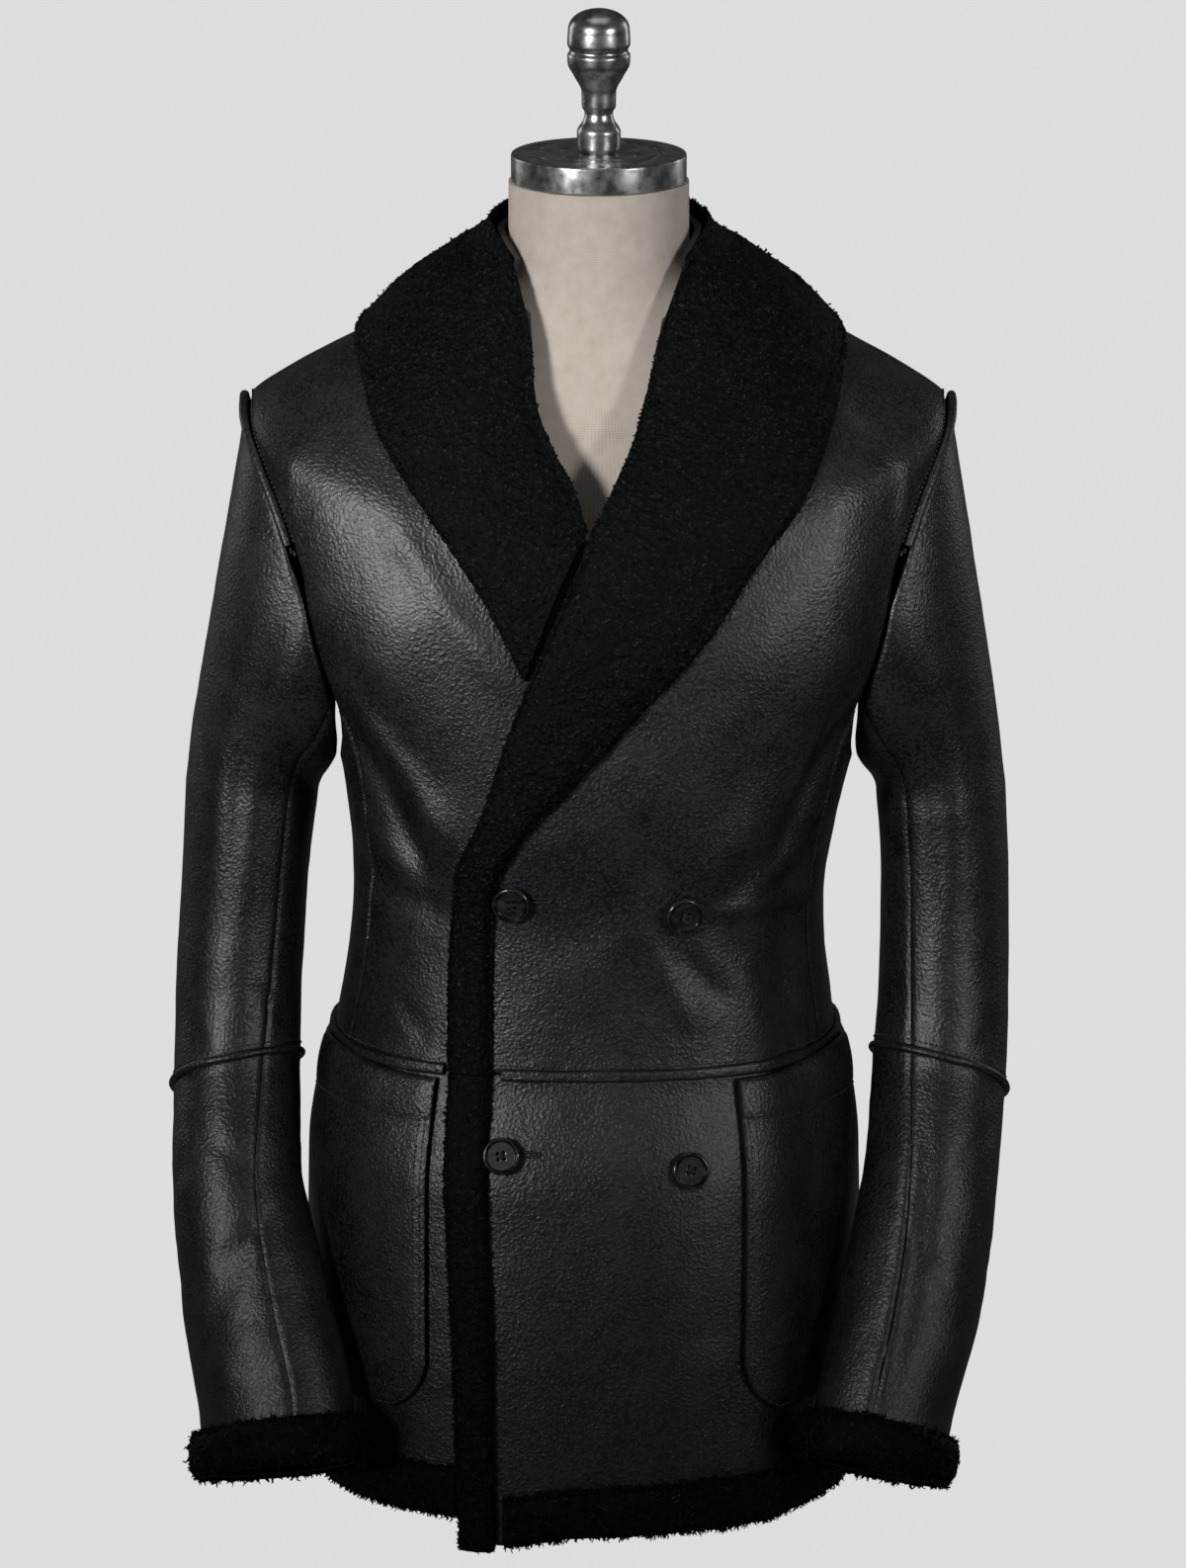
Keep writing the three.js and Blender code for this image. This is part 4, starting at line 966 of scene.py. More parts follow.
@dataclass
class CoatCloth:
    """The coat's cut: the body surface with its folds, and the thicknesses and gaps of its layers."""

    surface: RingSurface = field(default_factory=lambda: RingSurface(COAT_RINGS))
    wall: float = 5
    fur: float = 8
    seam: float = 0.4
    fur_gap: float = 1.3
    collar_gap: float = 1.6
    hem_gap: float = 0.9
    lap: float = 6.8
    underlap: float = 33
    lap_end: float = 54
    waist: float = 309
    degree: float = 2.6  # millimetres to one degree at the chest

    def on(self, angle: Array, level: Array, lift: Array | float = 0.0, fine: bool = False) -> Array:
        """Points this far outside the coat's leather, with the small creases where `fine` is set."""
        angle, level = np.broadcast_arrays(np.asarray(angle, float), np.asarray(level, float))
        around = (angle + 540) % 360 - 180
        height = lift + relief(around, level, self.degree, FOLDS)
        if fine:
            height = height + relief(around, level, self.degree, CREASES) + self.waist_pucker(around, level)
        return self.surface.point(angle, level) + self.surface.normal(angle, level) * height[..., None]

    def waist_pucker(self, around: Array, level: Array) -> Array:
        """Short uneven puckers on both sides of the waist seam, fading over 16 mm."""
        place = np.stack([around * self.degree, level * 0.25, np.zeros_like(around * level)], -1)
        fade = np.exp(-(((level - self.waist) / 16) ** 2))
        return fade * (0.55 * lumps(place, 8.0, 61) + 0.35 * lumps(place, 17.0, 71))

    def lap_lift(self, angle: Array, level: Array) -> Array:
        """How far the left front stands off where it covers the right one."""
        return self.lap * (1 - ramp(angle, self.underlap + 3, self.lap_end)) * (1 - ramp(level, 650, 730))

    def leather_skin(self, points: Array, normals: Array, ring: bool = False) -> Array:
        """Rolls a leather piece's borders into its seams and gives it the slight unevenness of a real skin."""
        distance = border_distance(points, ring)
        roll = -0.85 * np.exp(-((distance / 1.4) ** 2)) + 0.2 * np.exp(-(((distance - 4) / 3) ** 2))
        uneven = 0.38 * lumps(points, 24, 41) + 0.14 * lumps(points, 9, 51)
        return points + normals * (roll + uneven * ramp(distance, 0, 6))[..., None]


def no_lift(angle: Array, level: Array) -> Array:
    """The lift of a piece that lies straight on the body: none."""
    return np.zeros(np.broadcast(angle, level).shape)


def fixed(value: float) -> Curve:
    """A curve that has the same value everywhere."""
    return lambda at: np.full_like(np.asarray(at, float), value)


@dataclass
class Armhole:
    """The armhole, an ellipse in angle and level on the body: level ± 88, and 35° or 30° to each side of 90°."""

    level: float = 558
    half_height: float = 88
    front: float = 35
    back: float = 30
    channel: float = 3.8  # by how much leather stops short of it where the welt lies
    front_welt_end: float = 594
    back_welt_end: float = 543

    def channel_at(self, level: Array, weltend: Array) -> Array:
        """The room left for the welt at a level."""
        t = np.clip((level - (weltend - 30)) / 22, 0, 1)
        return mix(0.6, self.channel, t * t * (3 - 2 * t))

    def spread(self, level: Array, spread: float, room: Array) -> Array:
        """Half the armhole's width in degrees at a level, with room for a seam."""
        offset = (level - self.level) / (self.half_height + room)
        return np.where(np.abs(offset) >= 1, 0, (spread + room * 0.4) * np.sqrt(np.clip(1 - offset**2, 0, 1)))

    def place(self, turn: Array) -> tuple[Array, Array]:
        """The angle and level of the armhole's rim at a turn round the sleeve, in radians."""
        s, c = np.sin(turn), np.cos(turn)
        return 90 - np.where(s > 0, self.front, self.back) * s, self.level + self.half_height * c


@dataclass
class Bodice:
    """Fronts, backs and side panels between the waist seam and the neck."""

    cloth: CoatCloth
    wardrobe: Wardrobe
    armhole: Armhole = field(default_factory=Armhole)
    neck: float = 760
    seam_degrees: float = 0.2
    overhang: float = 2.5
    back_seam: float = 115
    back_edge: float = 179.85  # degrees, just short of the centre seam
    roll_end: float = 796
    rows: int = 150
    inner_columns: int = 16

    def panel_side(self, level: Array, seam: Curve, spread: float, towards: int, room: float, weltend: float) -> Array:
        """The outer end of a front or back panel: side seam, then armhole, then shoulder seam.

        Args:
            level: Where to read it.
            seam: The side seam's angle at a level.
            spread: Half the armhole's width on this side, in degrees.
            towards: -1 for a front and 1 for a back.
            room: Room left for the seam.
            weltend: The level at which the welt ends.
        Returns:
            The angle at each level.
        """
        top_level = SIDE_SEAM["level"][-1]
        across = (float(seam(np.array(top_level))) - 90) / spread
        seam_top = self.armhole.level - self.armhole.half_height * math.sqrt(1 - across**2)
        channel = self.armhole.channel_at(level, weltend)
        above = 90 + towards * (self.armhole.spread(level, spread, room + channel) + self.seam_degrees)
        return np.where(level < seam_top, seam(level) + towards * self.seam_degrees, above)

    def levels(self) -> Array:
        """Rows from the waist seam up, closer together by the seam and round the shoulder tip."""
        low, high = self.cloth.waist + self.cloth.seam, self.neck - 1
        near = low + np.array([0, 0.7, 1.5, 2.5, 3.8, 5.5, 7.5])
        body = np.linspace(low + 10, 612, self.rows - 70)
        shoulder = np.linspace(614, 672, 46)
        return np.concatenate([near, body, shoulder, np.linspace(675, high, 24)])

    def panel(
        self, name: str, columns: int, side: Callable[[Array, float], Array], edge: Curve, lift: Lift
    ) -> None:
        """Makes one panel between its side and its edge.

        Args:
            name: The panel's name.
            columns: Steps between side and edge.
            side: The side's angle at a level, with room left for a seam.
            edge: The edge's angle at a level.
            lift: How far the panel stands off.
        """
        levels = self.levels()[:, None]
        wall = self.cloth.wall

        def layer(share: Array, depth: float, room: float, fine: bool) -> Array:
            """One side of the wall."""
            angle = mix(side(levels, room), edge(levels), share[None, :])
            return self.cloth.on(angle, levels, lift(angle, levels) - depth, fine)

        outer = layer(shares(columns, 0.35), 0, 0, True)
        outer = self.cloth.leather_skin(outer, outward(outer))
        inner = layer(shares(self.inner_columns), wall, 7, False)
        shell = Shell(outer, inner)
        shell.build(name, self.wardrobe.leather, self.wardrobe.fur, Held.ON_FORM, ["form_torso"])

    def build(self) -> None:
        """Makes the fronts, the back halves and the side panels."""
        seam = smooth_curve(SIDE_SEAM["level"], SIDE_SEAM["angle"])
        roll = smooth_curve(LEFT_FACING["roll_level"][:11], LEFT_FACING["roll_angle"][:11])
        right_edge = smooth_curve(RIGHT_FRONT_EDGE["level"], RIGHT_FRONT_EDGE["angle"])

        def front_seam(level: Array) -> Array:
            """The side seam's angle, the same above its top."""
            return seam(np.minimum(level, SIDE_SEAM["level"][-1]))

        def left_edge(level: Array) -> Array:
            """The left front's edge, under the roll of its facing."""
            return roll(np.minimum(level, self.roll_end)) + self.overhang

        def front(sign: int) -> Callable[[Array, float], Array]:
            """The side of a front."""
            end = self.armhole.front_welt_end
            return lambda level, room: sign * self.panel_side(level, front_seam, self.armhole.front, -1, room, end)

        def back(sign: int) -> Callable[[Array, float], Array]:
            """The side of a back half."""
            seam_at, end = fixed(self.back_seam), self.armhole.back_welt_end
            return lambda level, room: sign * self.panel_side(level, seam_at, self.armhole.back, 1, room, end)

        self.panel("front_right", 84, front(-1), right_edge, no_lift)
        self.panel("front_left", 92, front(1), left_edge, self.cloth.lap_lift)
        for name, sign in (("back_right", -1), ("back_left", 1)):
            self.panel(name, 62, back(sign), fixed(sign * self.back_edge), no_lift)
        for name, sign in (("side_right", -1), ("side_left", 1)):
            self.side_panel(name, sign, seam)

    def side_panel(self, name: str, sign: int, seam: Curve) -> None:
        """Makes the panel under one armhole, whose top follows the armhole's ellipse."""
        hole, gap = self.armhole, 2 * self.seam_degrees

        def layer(u: Array, depth: float, room: float, fine: bool) -> Array:
            """One side of the wall."""
            u, v = u[None, :], shares(52, 0.4)[:, None]
            across = mix(SIDE_SEAM["angle"][-1], self.back_seam, u)
            bow = np.sqrt(1 - ((across - 90) / np.where(across < 90, hole.front, hole.back)) ** 2)
            top = hole.level - hole.half_height * bow - 2 - room
            level = mix(self.cloth.waist + self.cloth.seam, top, v)
            angle = mix(seam(level) + gap, self.back_seam - gap, u)
            return self.cloth.on(sign * angle, level, -depth, fine)

        outer = layer(shares(44, 0.35), 0, 0, True)
        normals = grid_normals(outer)
        normals *= np.sign((normals[..., 0] * sign).mean())
        outer = self.cloth.leather_skin(outer, normals)
        shell = Shell(outer, layer(shares(10), self.cloth.wall, 3, False))
        shell.build(name, self.wardrobe.leather, self.wardrobe.fur, Held.ON_FORM, ["form_torso"])


@dataclass
class Skirt:
    """The three skirt pieces below the waist seam, the fur turned up round the hem and down the left front edge."""

    cloth: CoatCloth
    wardrobe: Wardrobe
    hem: float = 26
    band: float = 32
    seam_angle: float = 95
    seam_degrees: float = 0.2
    overhang: float = 2.5
    strip_width: float = 9.8  # degrees
    wool: Wool = field(default_factory=Wool)

    def __post_init__(self) -> None:
        """Prepares the edges' curves."""
        self.left_edge = smooth_curve(LEFT_SKIRT_EDGE["level"], LEFT_SKIRT_EDGE["angle"])
        self.left_hem = smooth_curve(LEFT_HEM["angle"], LEFT_HEM["level"])

    def leather(
        self, name: str, columns: int, start: Curve, end: Curve, hem_level: Curve, lift: Lift
    ) -> None:
        """Makes one skirt piece.

        Args:
            name: The piece's name.
            columns: Steps between its edges.
            start: Its first edge's angle at a level.
            end: Its second edge's angle at a level.
            hem_level: Its lower edge's level at an angle.
            lift: How far it stands off.
        """
        waist = np.array(self.cloth.waist)
        top = self.cloth.waist - self.cloth.seam

        def layer(u: Array, depth: float, fine: bool) -> Array:
            """One side of the wall."""
            u, v = u[None, :], shares(92, 0.35)[:, None]
            low = hem_level(mix(start(waist), end(waist), u))
            level = mix(low, top, v)
            angle = mix(start(level), end(level), u)
            return self.cloth.on(angle, level, lift(angle, level) - depth, fine)

        outer = layer(shares(columns, 0.3), 0, True)
        normals = outward(outer)
        outer = self.cloth.leather_skin(outer, normals)
        shell = Shell(outer, layer(shares(columns // 5), self.cloth.wall, False))
        shell.build(name, self.wardrobe.leather, self.wardrobe.fur, Held.ON_FORM, ["form_torso"])

    def hem_band(
        self, name: str, rows: int, start: float, end: float, hem_level: Curve, lift: Lift
    ) -> tuple[Array, Array]:
        """Makes the fur turned up along one stretch of the hem.

        Args:
            name: The piece's name.
            rows: Steps along the hem.
            start: The angle at which it starts.
            end: The angle at which it ends.
            hem_level: Its lower edge's level at an angle.
            lift: How far the leather under it stands off.
        Returns:
            Its smooth surface and normals, for the locks.
        """
        angle = np.linspace(start, end, rows)[:, None]

        def layer(v: Array, top: bool) -> Array:
            """One side of the fur."""
            level = hem_level(angle) + self.band * v[None, :]
            fur = self.cloth.fur * pad(v)[None, :] if top else 0
            return self.cloth.on(angle, level, lift(angle, level) + self.cloth.hem_gap + fur)

        outer, inner = layer(shares(26, 0.5), True), layer(shares(4), False)
        return self.fur_piece(name, outer, inner, [name.replace("hem", "skirt")])

    def fur_piece(self, name: str, outer: Array, inner: Array, rests_on: list[str]) -> tuple[Array, Array]:
        """Ruffles a fur piece and makes it.

        Args:
            name: The piece's name.
            outer: Its smooth outer surface.
            inner: Its inner surface.
            rests_on: What it lies on.
        Returns:
            The outer surface and its normals.
        """
        normals = outward(outer)
        flat_cut = Shell(outer, inner)
        moved, pile_and_shade = self.wool.ruffle(outer, normals, ramp(border_distance(outer, False), -2.5, 1.5))
        shell = FurShell(moved, inner, smooth=flat_cut)
        piece = shell.build(name, self.wardrobe.fur, self.wardrobe.fur, Held.TURNED, rests_on)
        store_pile_and_shade(piece, pile_and_shade.reshape(-1))
        return outer, normals

    def build(self) -> list[tuple[str, Array, Array]]:
        """Makes the skirt and gives the fur's surfaces by name."""
        waist_seam = self.seam_angle
        self.leather(
            "skirt_right", 100, fixed(self.seam_degrees - waist_seam), fixed(33), fixed(self.hem + 2), no_lift
        )

        def left_start(level: Array) -> Array:
            """The left piece's front edge, under its fur strip."""
            return self.left_edge(level) + self.overhang

        def left_low(angle: Array) -> Array:
            """The left piece's lower edge, just above the hem's."""
            return self.left_hem(angle) + 2

        self.leather(
            "skirt_left", 104, left_start, fixed(waist_seam - self.seam_degrees), left_low, self.cloth.lap_lift
        )
        back = (fixed(waist_seam + self.seam_degrees), fixed(360 - waist_seam - self.seam_degrees))
        self.leather("skirt_back", 130, *back, fixed(self.hem), no_lift)
        seam = waist_seam + 0.3
        furs = []
        for name, rows, start, end, low, lift in (
            ("hem_right", 150, 0.6 - seam, -24, fixed(self.hem), no_lift),
            ("hem_left", 210, -13.2, seam - 0.6, self.left_hem, self.cloth.lap_lift),
            ("hem_back", 300, seam, 360 - seam, fixed(self.hem - 2), no_lift),
        ):
            furs.append((name, *self.hem_band(name, rows, start, end, low, lift)))
        furs.append(("facing_skirt_left", *self.strip()))
        return furs

    def strip(self) -> tuple[Array, Array]:
        """Makes the fur strip down the left front edge and gives its surface."""
        level = np.linspace(float(self.left_hem(np.array(-20.0))) - 0.5, self.cloth.waist - self.cloth.seam, 220)
        up = np.linspace(0, 1, 220)[:, None]

        def layer(u: Array, top: bool) -> Array:
            """One side of the fur."""
            angle = self.left_edge(level)[:, None] + self.strip_width * u[None, :] * mix(0.8, 1, up)
            fur = self.cloth.fur * pad(u)[None, :] if top else 0
            return self.cloth.on(angle, level[:, None], self.cloth.lap + self.cloth.fur_gap + fur)

        return self.fur_piece("facing_skirt_left", layer(shares(22, 0.5), True), layer(shares(3), False), ["skirt_left"])


def outward(points: Array) -> Array:
    """Unit normals of a grid that lies round the body, turned away from the body's axis."""
    normals = grid_normals(points)
    flat = np.einsum("ijk,ijk->ij", normals[..., :2], points[..., :2])
    return normals * (1 if np.median(flat) > 0 else -1)


@dataclass
class FurShell(Shell):
    """A shell of fur, whose cut is measured on its smooth form."""

    smooth: Shell | None = None

    def cut(self) -> tuple[tuple[float, float], float]:
        """The size of the cut piece, without the relief of its tufts."""
        return self.smooth.cut()


@dataclass
class Collar:
    """The shawl collar: facings, lapels and collar halves of fur turned outwards, and the stand inside its fold."""

    cloth: CoatCloth
    wardrobe: Wardrobe
    edge: float = 0.62
    edge_round: float = 5.5  # mm over which the free edge rounds down
    stand_end: float = 56
    stand_levels: tuple[float, float] = (760, 779)
    wool: Wool = field(default_factory=lambda: Wool(height=1.45))

    def facing(self, name: str, rows: Table, along: int, columns: int, lift: Lift) -> tuple[Array, Array]:
        """Makes one facing, carried along its table from roll to free edge, and gives its surface.

        The fur stands off by gap + 2.4·e^-(u/0.03)² + rise·sin(π·u^1.25) + 8·max(pad(u), edge), where u runs from
        the roll to the free edge.

        Args:
            name: The facing's name.
            rows: Its table.
            along: Steps along it.
            columns: Steps from roll to edge.
            lift: How far the front under it stands off.
        Returns:
            Its smooth surface and normals, for the locks.
        """
        count = len(rows["rise"])
        read = {key: smooth_curve(np.arange(count), column) for key, column in rows.items()}
        place = np.linspace(0, count - 1, along)[:, None]

        def layer(u: Array, top: bool) -> Array:
            """One side of the fur."""
            u = u[None, :]
            angle = mix(read["roll_angle"](place), read["edge_angle"](place), u)
            level = mix(read["roll_level"](place), read["edge_level"](place), u)
            overhang = 2.4 * np.exp(-((u / 0.03) ** 2))
            bump = read["rise"](place) * np.sin(np.pi * u**1.25)
            edge = np.where(u > 0.5, self.edge * ramp(read["roll_level"](place), 440, 560), 0)
            fur = self.cloth.fur * np.maximum(pad(u), edge) if top else 0
            base = self.cloth.on(angle, level, lift(angle, level) + self.cloth.collar_gap + overhang + bump)
            if not top:
                return base
            to_edge = np.linalg.norm(base - base[:, -1:], axis=-1)
            near = 1 - np.clip(to_edge / self.edge_round, 0, 1)
            fur = np.maximum(fur * np.sqrt(np.clip(1 - near**2, 0, 1)), 1.2)
            return base + self.cloth.surface.normal(angle, level) * fur[..., None]

        outer, inner = layer(shares(columns, 0.3), True), layer(shares(8), False)
        normals = outward(outer)
        strength = ramp(border_distance(outer, False), -3, 1.5)
        moved, pile_and_shade = self.wool.ruffle(outer, normals, strength)
        shell = FurShell(moved, inner, smooth=Shell(outer, inner))
        below = "front_left" if "left" in name else "front_right"
        piece = shell.build(name, self.wardrobe.fur, self.wardrobe.fur, Held.TURNED, [below])
        store_pile_and_shade(piece, pile_and_shade.reshape(-1))
        return outer, normals

    def build(self) -> list[tuple[str, Array, Array]]:
        """Makes the collar and gives the fur's surfaces by name."""
        furs = [
            ("facing_left", *self.facing("facing_left", LEFT_FACING, 590, 84, self.cloth.lap_lift)),
            ("facing_right", *self.facing("facing_right", RIGHT_FACING, 396, 84, no_lift)),
        ]
        u = np.linspace(self.stand_end, 360 - self.stand_end, 150)[:, None]
        outer = self.cloth.on(u, mix(*self.stand_levels, shares(10, 0.4))[None, :])
        inner = self.cloth.on(u, mix(*self.stand_levels, shares(3))[None, :], -self.cloth.wall)
        outer = self.cloth.leather_skin(outer, outward(outer))
        shell = Shell(outer, inner)
        shell.build("collar_stand", self.wardrobe.leather, self.wardrobe.fur, Held.ON_FORM, ["form_torso"])
        return furs


@dataclass
class SleeveTube:
    """The surface of one sleeve, from the armhole's rim to the end of the cuff.

    Below the upper arm each section is an ellipse, centre + out·h·cos t + front·d·sin t, swung forward with the
    arm. Above, a cubic leads from the armhole's rim to the first section. `along` below 0 is the sleeve head, from
    -1 at the armhole; above 0 it is a height.
    """

    cloth: CoatCloth
    armhole: Armhole
    side: int

    def __post_init__(self) -> None:
        """Prepares the sections' curves and the creases of this side."""
        self.read = {key: smooth_curve(SLEEVE_ROWS["z"], column) for key, column in SLEEVE_ROWS.items()}
        self.word = "right" if self.side < 0 else "left"
        self.top = SLEEVE_ROWS["z"][-1]
        self.creases = RIGHT_SLEEVE_CREASES if self.side < 0 else LEFT_SLEEVE_CREASES

    def centre(self, z: Array) -> Array:
        """The middle of the section at a height."""
        return np.stack([self.read[f"{self.word}_x"](z), self.read["y"](z), z], -1)

    def section(self, turn: Array, z: Array) -> Array:
        """A point of the section at a height."""
        turn, z = np.broadcast_arrays(np.asarray(turn, float), np.asarray(z, float))
        down = unit(self.centre(z - 1) - self.centre(z + 1))
        swing = np.radians(self.read["turn"](z))
        out = np.stack([self.side * np.cos(swing), np.sin(swing), np.zeros_like(swing)], -1)
        out = unit(out - down * (out * down).sum(-1, keepdims=True))
        front = unit(np.cross(down, out))
        front = front * np.where(front[..., 1:2] > 0, -1, 1)
        half, depth = self.read[f"{self.word}_half"](z), self.read["half_depth"](z)
        return self.centre(z) + out * (half * np.cos(turn))[..., None] + front * (depth * np.sin(turn))[..., None]

    def head(self, turn: Array, place: Array) -> Array:
        """A point of the sleeve head, with place from 0 at the armhole to 1 at the upper arm."""
        turn, place = np.broadcast_arrays(np.asarray(turn, float), np.asarray(place, float))
        angle, level = self.armhole.place(turn)
        surface = self.cloth.surface
        start = surface.point(self.side * angle, level) + 0.8 * surface.normal(self.side * angle, level)
        end = self.section(turn, np.full_like(turn, self.top))
        reach = np.linalg.norm(end - start, axis=-1)
        weltend = np.where(np.sin(turn) > 0, self.armhole.front_welt_end, self.armhole.back_welt_end)
        s = mix(self.armhole.channel_at(level, weltend) / reach, 1, place)[..., None]
        r = 1 - s
        zero = np.zeros_like(turn)
        leave = unit(np.stack([self.side * (0.13 + 0.47 * np.sin(turn) ** 2), zero, zero - 1], -1))
        arrive = unit(np.stack([zero + self.side * 0.1, zero, zero - 1], -1))
        reach = reach[..., None]
        return (
            start * (1 + 2 * s) * r * r
            + leave * reach * s * r * r
            + end * s * s * (3 - 2 * s)
            - arrive * reach * s * s * r
        )

    def outer(self, turn: Array, along: Array) -> Array:
        """A point of the sleeve's outer surface."""
        turn, along = np.broadcast_arrays(np.asarray(turn, float), np.asarray(along, float))
        head = self.head(turn, np.clip(along + 1, 0, 1))
        arm = self.section(turn, np.where(along < 0, self.top, along))
        return np.where((along < 0)[..., None], head, arm)

    def inward(self, turn: Array, along: Array) -> Array:
        """Unit normals that point into the sleeve."""
        turn, along = np.broadcast_arrays(np.asarray(turn, float), np.asarray(along, float))

        def step(by: int) -> Array:
            """A place a little further along."""
            return np.where(along < 0, np.clip(along + by * 0.02, -1, -0.0001), along - by * 2)

        around = self.outer(turn + 0.02, along) - self.outer(turn - 0.02, along)
        down = self.outer(turn, step(1)) - self.outer(turn, step(-1))
        normal = unit(np.cross(around, down))
        z = np.where(along < 0, self.top, along)
        axis = (self.section(np.zeros_like(turn), z) + self.section(np.full_like(turn, np.pi), z)) / 2
        to_axis = axis - self.outer(turn, along)
        flat = (normal[..., :2] * to_axis[..., :2]).sum(-1, keepdims=True)
        return normal * np.where(flat < 0, -1, 1)

    def at(self, turn: Array, along: Array, inset: Array | float = 0.0, fine: bool = False) -> Array:
        """Points this far inside the sleeve's outer surface, with its creases where `fine` is set."""
        base, inward = self.outer(turn, along), self.inward(turn, along)
        depth = np.broadcast_to(np.asarray(inset, float), base.shape[:-1])
        if fine:
            degrees = np.degrees(np.broadcast_to(turn, base.shape[:-1]))
            degrees = (degrees + 180) % 360 - 180
            lift = relief(degrees, base[..., 2], 0.75, self.creases)
            lift += relief(degrees - 360, base[..., 2], 0.75, self.creases)
            across = lumps(base * [0.35, 0.35, 1.0], 7, 81) * ramp(base[..., 2], 330, 230)
            depth = depth - lift - 0.3 * across
        return base + inward * depth[..., None]


@dataclass
class Sleeves:
    """Both two-piece sleeves with an elbow seam, and their fur cuffs."""

    cloth: CoatCloth
    wardrobe: Wardrobe
    armhole: Armhole = field(default_factory=Armhole)
    top_turns: tuple[float, float] = (-125, 125)
    under_turns: tuple[float, float] = (125, 235)
    elbow: float = 285
    tilt: float = 10
    cuff_top: float = 80
    cuff_end: float = 53
    wool: Wool = field(default_factory=Wool)

    def elbow_at(self, turn: Array) -> Array:
        """The height of the elbow seam, lower outside and higher inside."""
        return self.elbow - self.tilt * np.cos(turn)

    def upper_rows(self, turn: Array) -> Array:
        """The rows above the elbow at each turn: the sleeve head, then the arm down to the seam."""
        head = np.concatenate([[-1, -0.993, -0.985, -0.975], np.linspace(-0.96, -0.02, 56)])[:, None]
        arm = mix(SLEEVE_ROWS["z"][-1], self.elbow_at(turn) + self.cloth.seam, shares(52, 0.3)[:, None])
        return np.concatenate([np.broadcast_to(head, (len(head), turn.size)), arm])

    def lower_rows(self, turn: Array) -> Array:
        """The rows of the forearm at each turn."""
        return mix(self.elbow_at(turn) - self.cloth.seam, self.cuff_end + 2, shares(78, 0.3)[:, None])

    def piece(
        self, name: str, tube: SleeveTube, turns: tuple[float, float], columns: int, alongs: Curve
    ) -> None:
        """Makes one leather piece of a sleeve.

        Args:
            name: The piece's name.
            tube: The sleeve.
            turns: Where it starts and ends round the sleeve, in degrees.
            columns: Steps round the sleeve.
            alongs: Gives its rows at each turn.
        """
        gap = self.cloth.seam

        def layer(count: int, inset: float, tight: float, fine: bool) -> Array:
            """One side of the wall."""
            turn = np.radians(mix(turns[0] + gap, turns[1] - gap, shares(count, tight)))[None, :]
            return tube.at(turn, alongs(turn), inset, fine)

        outer = layer(columns, 0, 0.3, True)
        turn = np.radians(mix(turns[0] + gap, turns[1] - gap, shares(columns, 0.3)))[None, :]
        outer = self.cloth.leather_skin(outer, -tube.inward(turn, alongs(turn)))
        shell = Shell(outer, layer(max(columns // 4, 8), self.cloth.wall, 0, False))
        shell.build(name, self.wardrobe.leather, self.wardrobe.fur, Held.SLEEVE, ["form_torso"])

    def build(self) -> list[tuple[str, Array, Array]]:
        """Makes both sleeves and gives the cuffs' surfaces by name."""
        furs = []
        for side in (-1, 1):
            tube = SleeveTube(self.cloth, self.armhole, side)
            for part, rows in (("sleeve", self.upper_rows), ("forearm", self.lower_rows)):
                self.piece(f"{part}_top_{tube.word}", tube, self.top_turns, 62, rows)
                self.piece(f"{part}_under_{tube.word}", tube, self.under_turns, 30, rows)
            furs.append((f"cuff_{tube.word}", *self.cuff(tube)))
        return furs

    def cuff(self, tube: SleeveTube) -> tuple[Array, Array]:
        """Makes one fur cuff and gives its surface."""
        turn = np.linspace(0, 2 * math.pi, 230, endpoint=False)[:, None]

        def layer(v: Array, top: bool) -> Array:
            """One side of the fur."""
            fur = self.cloth.fur * pad(v)[None, :] if top else 0
            along = mix(self.cuff_end, self.cuff_top, v)[None, :]
            return tube.at(turn, along, -self.cloth.hem_gap - fur)

        outer, inner = layer(shares(24, 0.5), True), layer(shares(3), False)
        normals = -tube.inward(turn, mix(self.cuff_end, self.cuff_top, shares(24, 0.5))[None, :])
        moved, pile_and_shade = self.wool.ruffle(outer, normals, ramp(border_distance(outer, True), -2.5, 1.5))
        shell = FurShell(moved, inner, ring=True, smooth=Shell(outer, inner, ring=True))
        name = f"cuff_{tube.word}"
        piece = shell.build(name, self.wardrobe.fur, self.wardrobe.fur, Held.TURNED, [f"forearm_top_{tube.word}"])
        store_pile_and_shade(piece, pile_and_shade.reshape(-1))
        return outer, normals


def carry(centres: Array, sides: Array, ups: Array, profile: Array, closed: bool) -> tuple[Array, list[list[int]]]:
    """Carries a closed profile along a path: centre + side·x + up·y for each profile point (x, y).

    Args:
        centres: The path's points.
        sides: Unit vectors across the path.
        ups: Unit vectors away from the surface.
        profile: The profile's points, going round.
        closed: Whether the path's ends meet.
    Returns:
        The points and the faces.
    """
    points = (
        centres[:, None]
        + sides[:, None] * profile[None, :, :1]
        + ups[:, None] * profile[None, :, 1:2]
    )
    rows, count = points.shape[:2]
    index = np.arange(rows * count).reshape(rows, count)
    faces = tube_quads(np.vstack([index, index[:1]]) if closed else index)
    if not closed:
        faces += [index[0, ::-1].tolist(), index[-1].tolist()]
    return points.reshape(-1, 3), faces


def path_frame(points: Array, normals: Array, closed: bool) -> tuple[Array, Array]:
    """The unit directions along and across a path that lies on a surface."""
    if closed:
        along = np.roll(points, -1, 0) - np.roll(points, 1, 0)
    else:
        along = np.gradient(points, axis=0)
    return unit(along), unit(np.cross(along, normals))


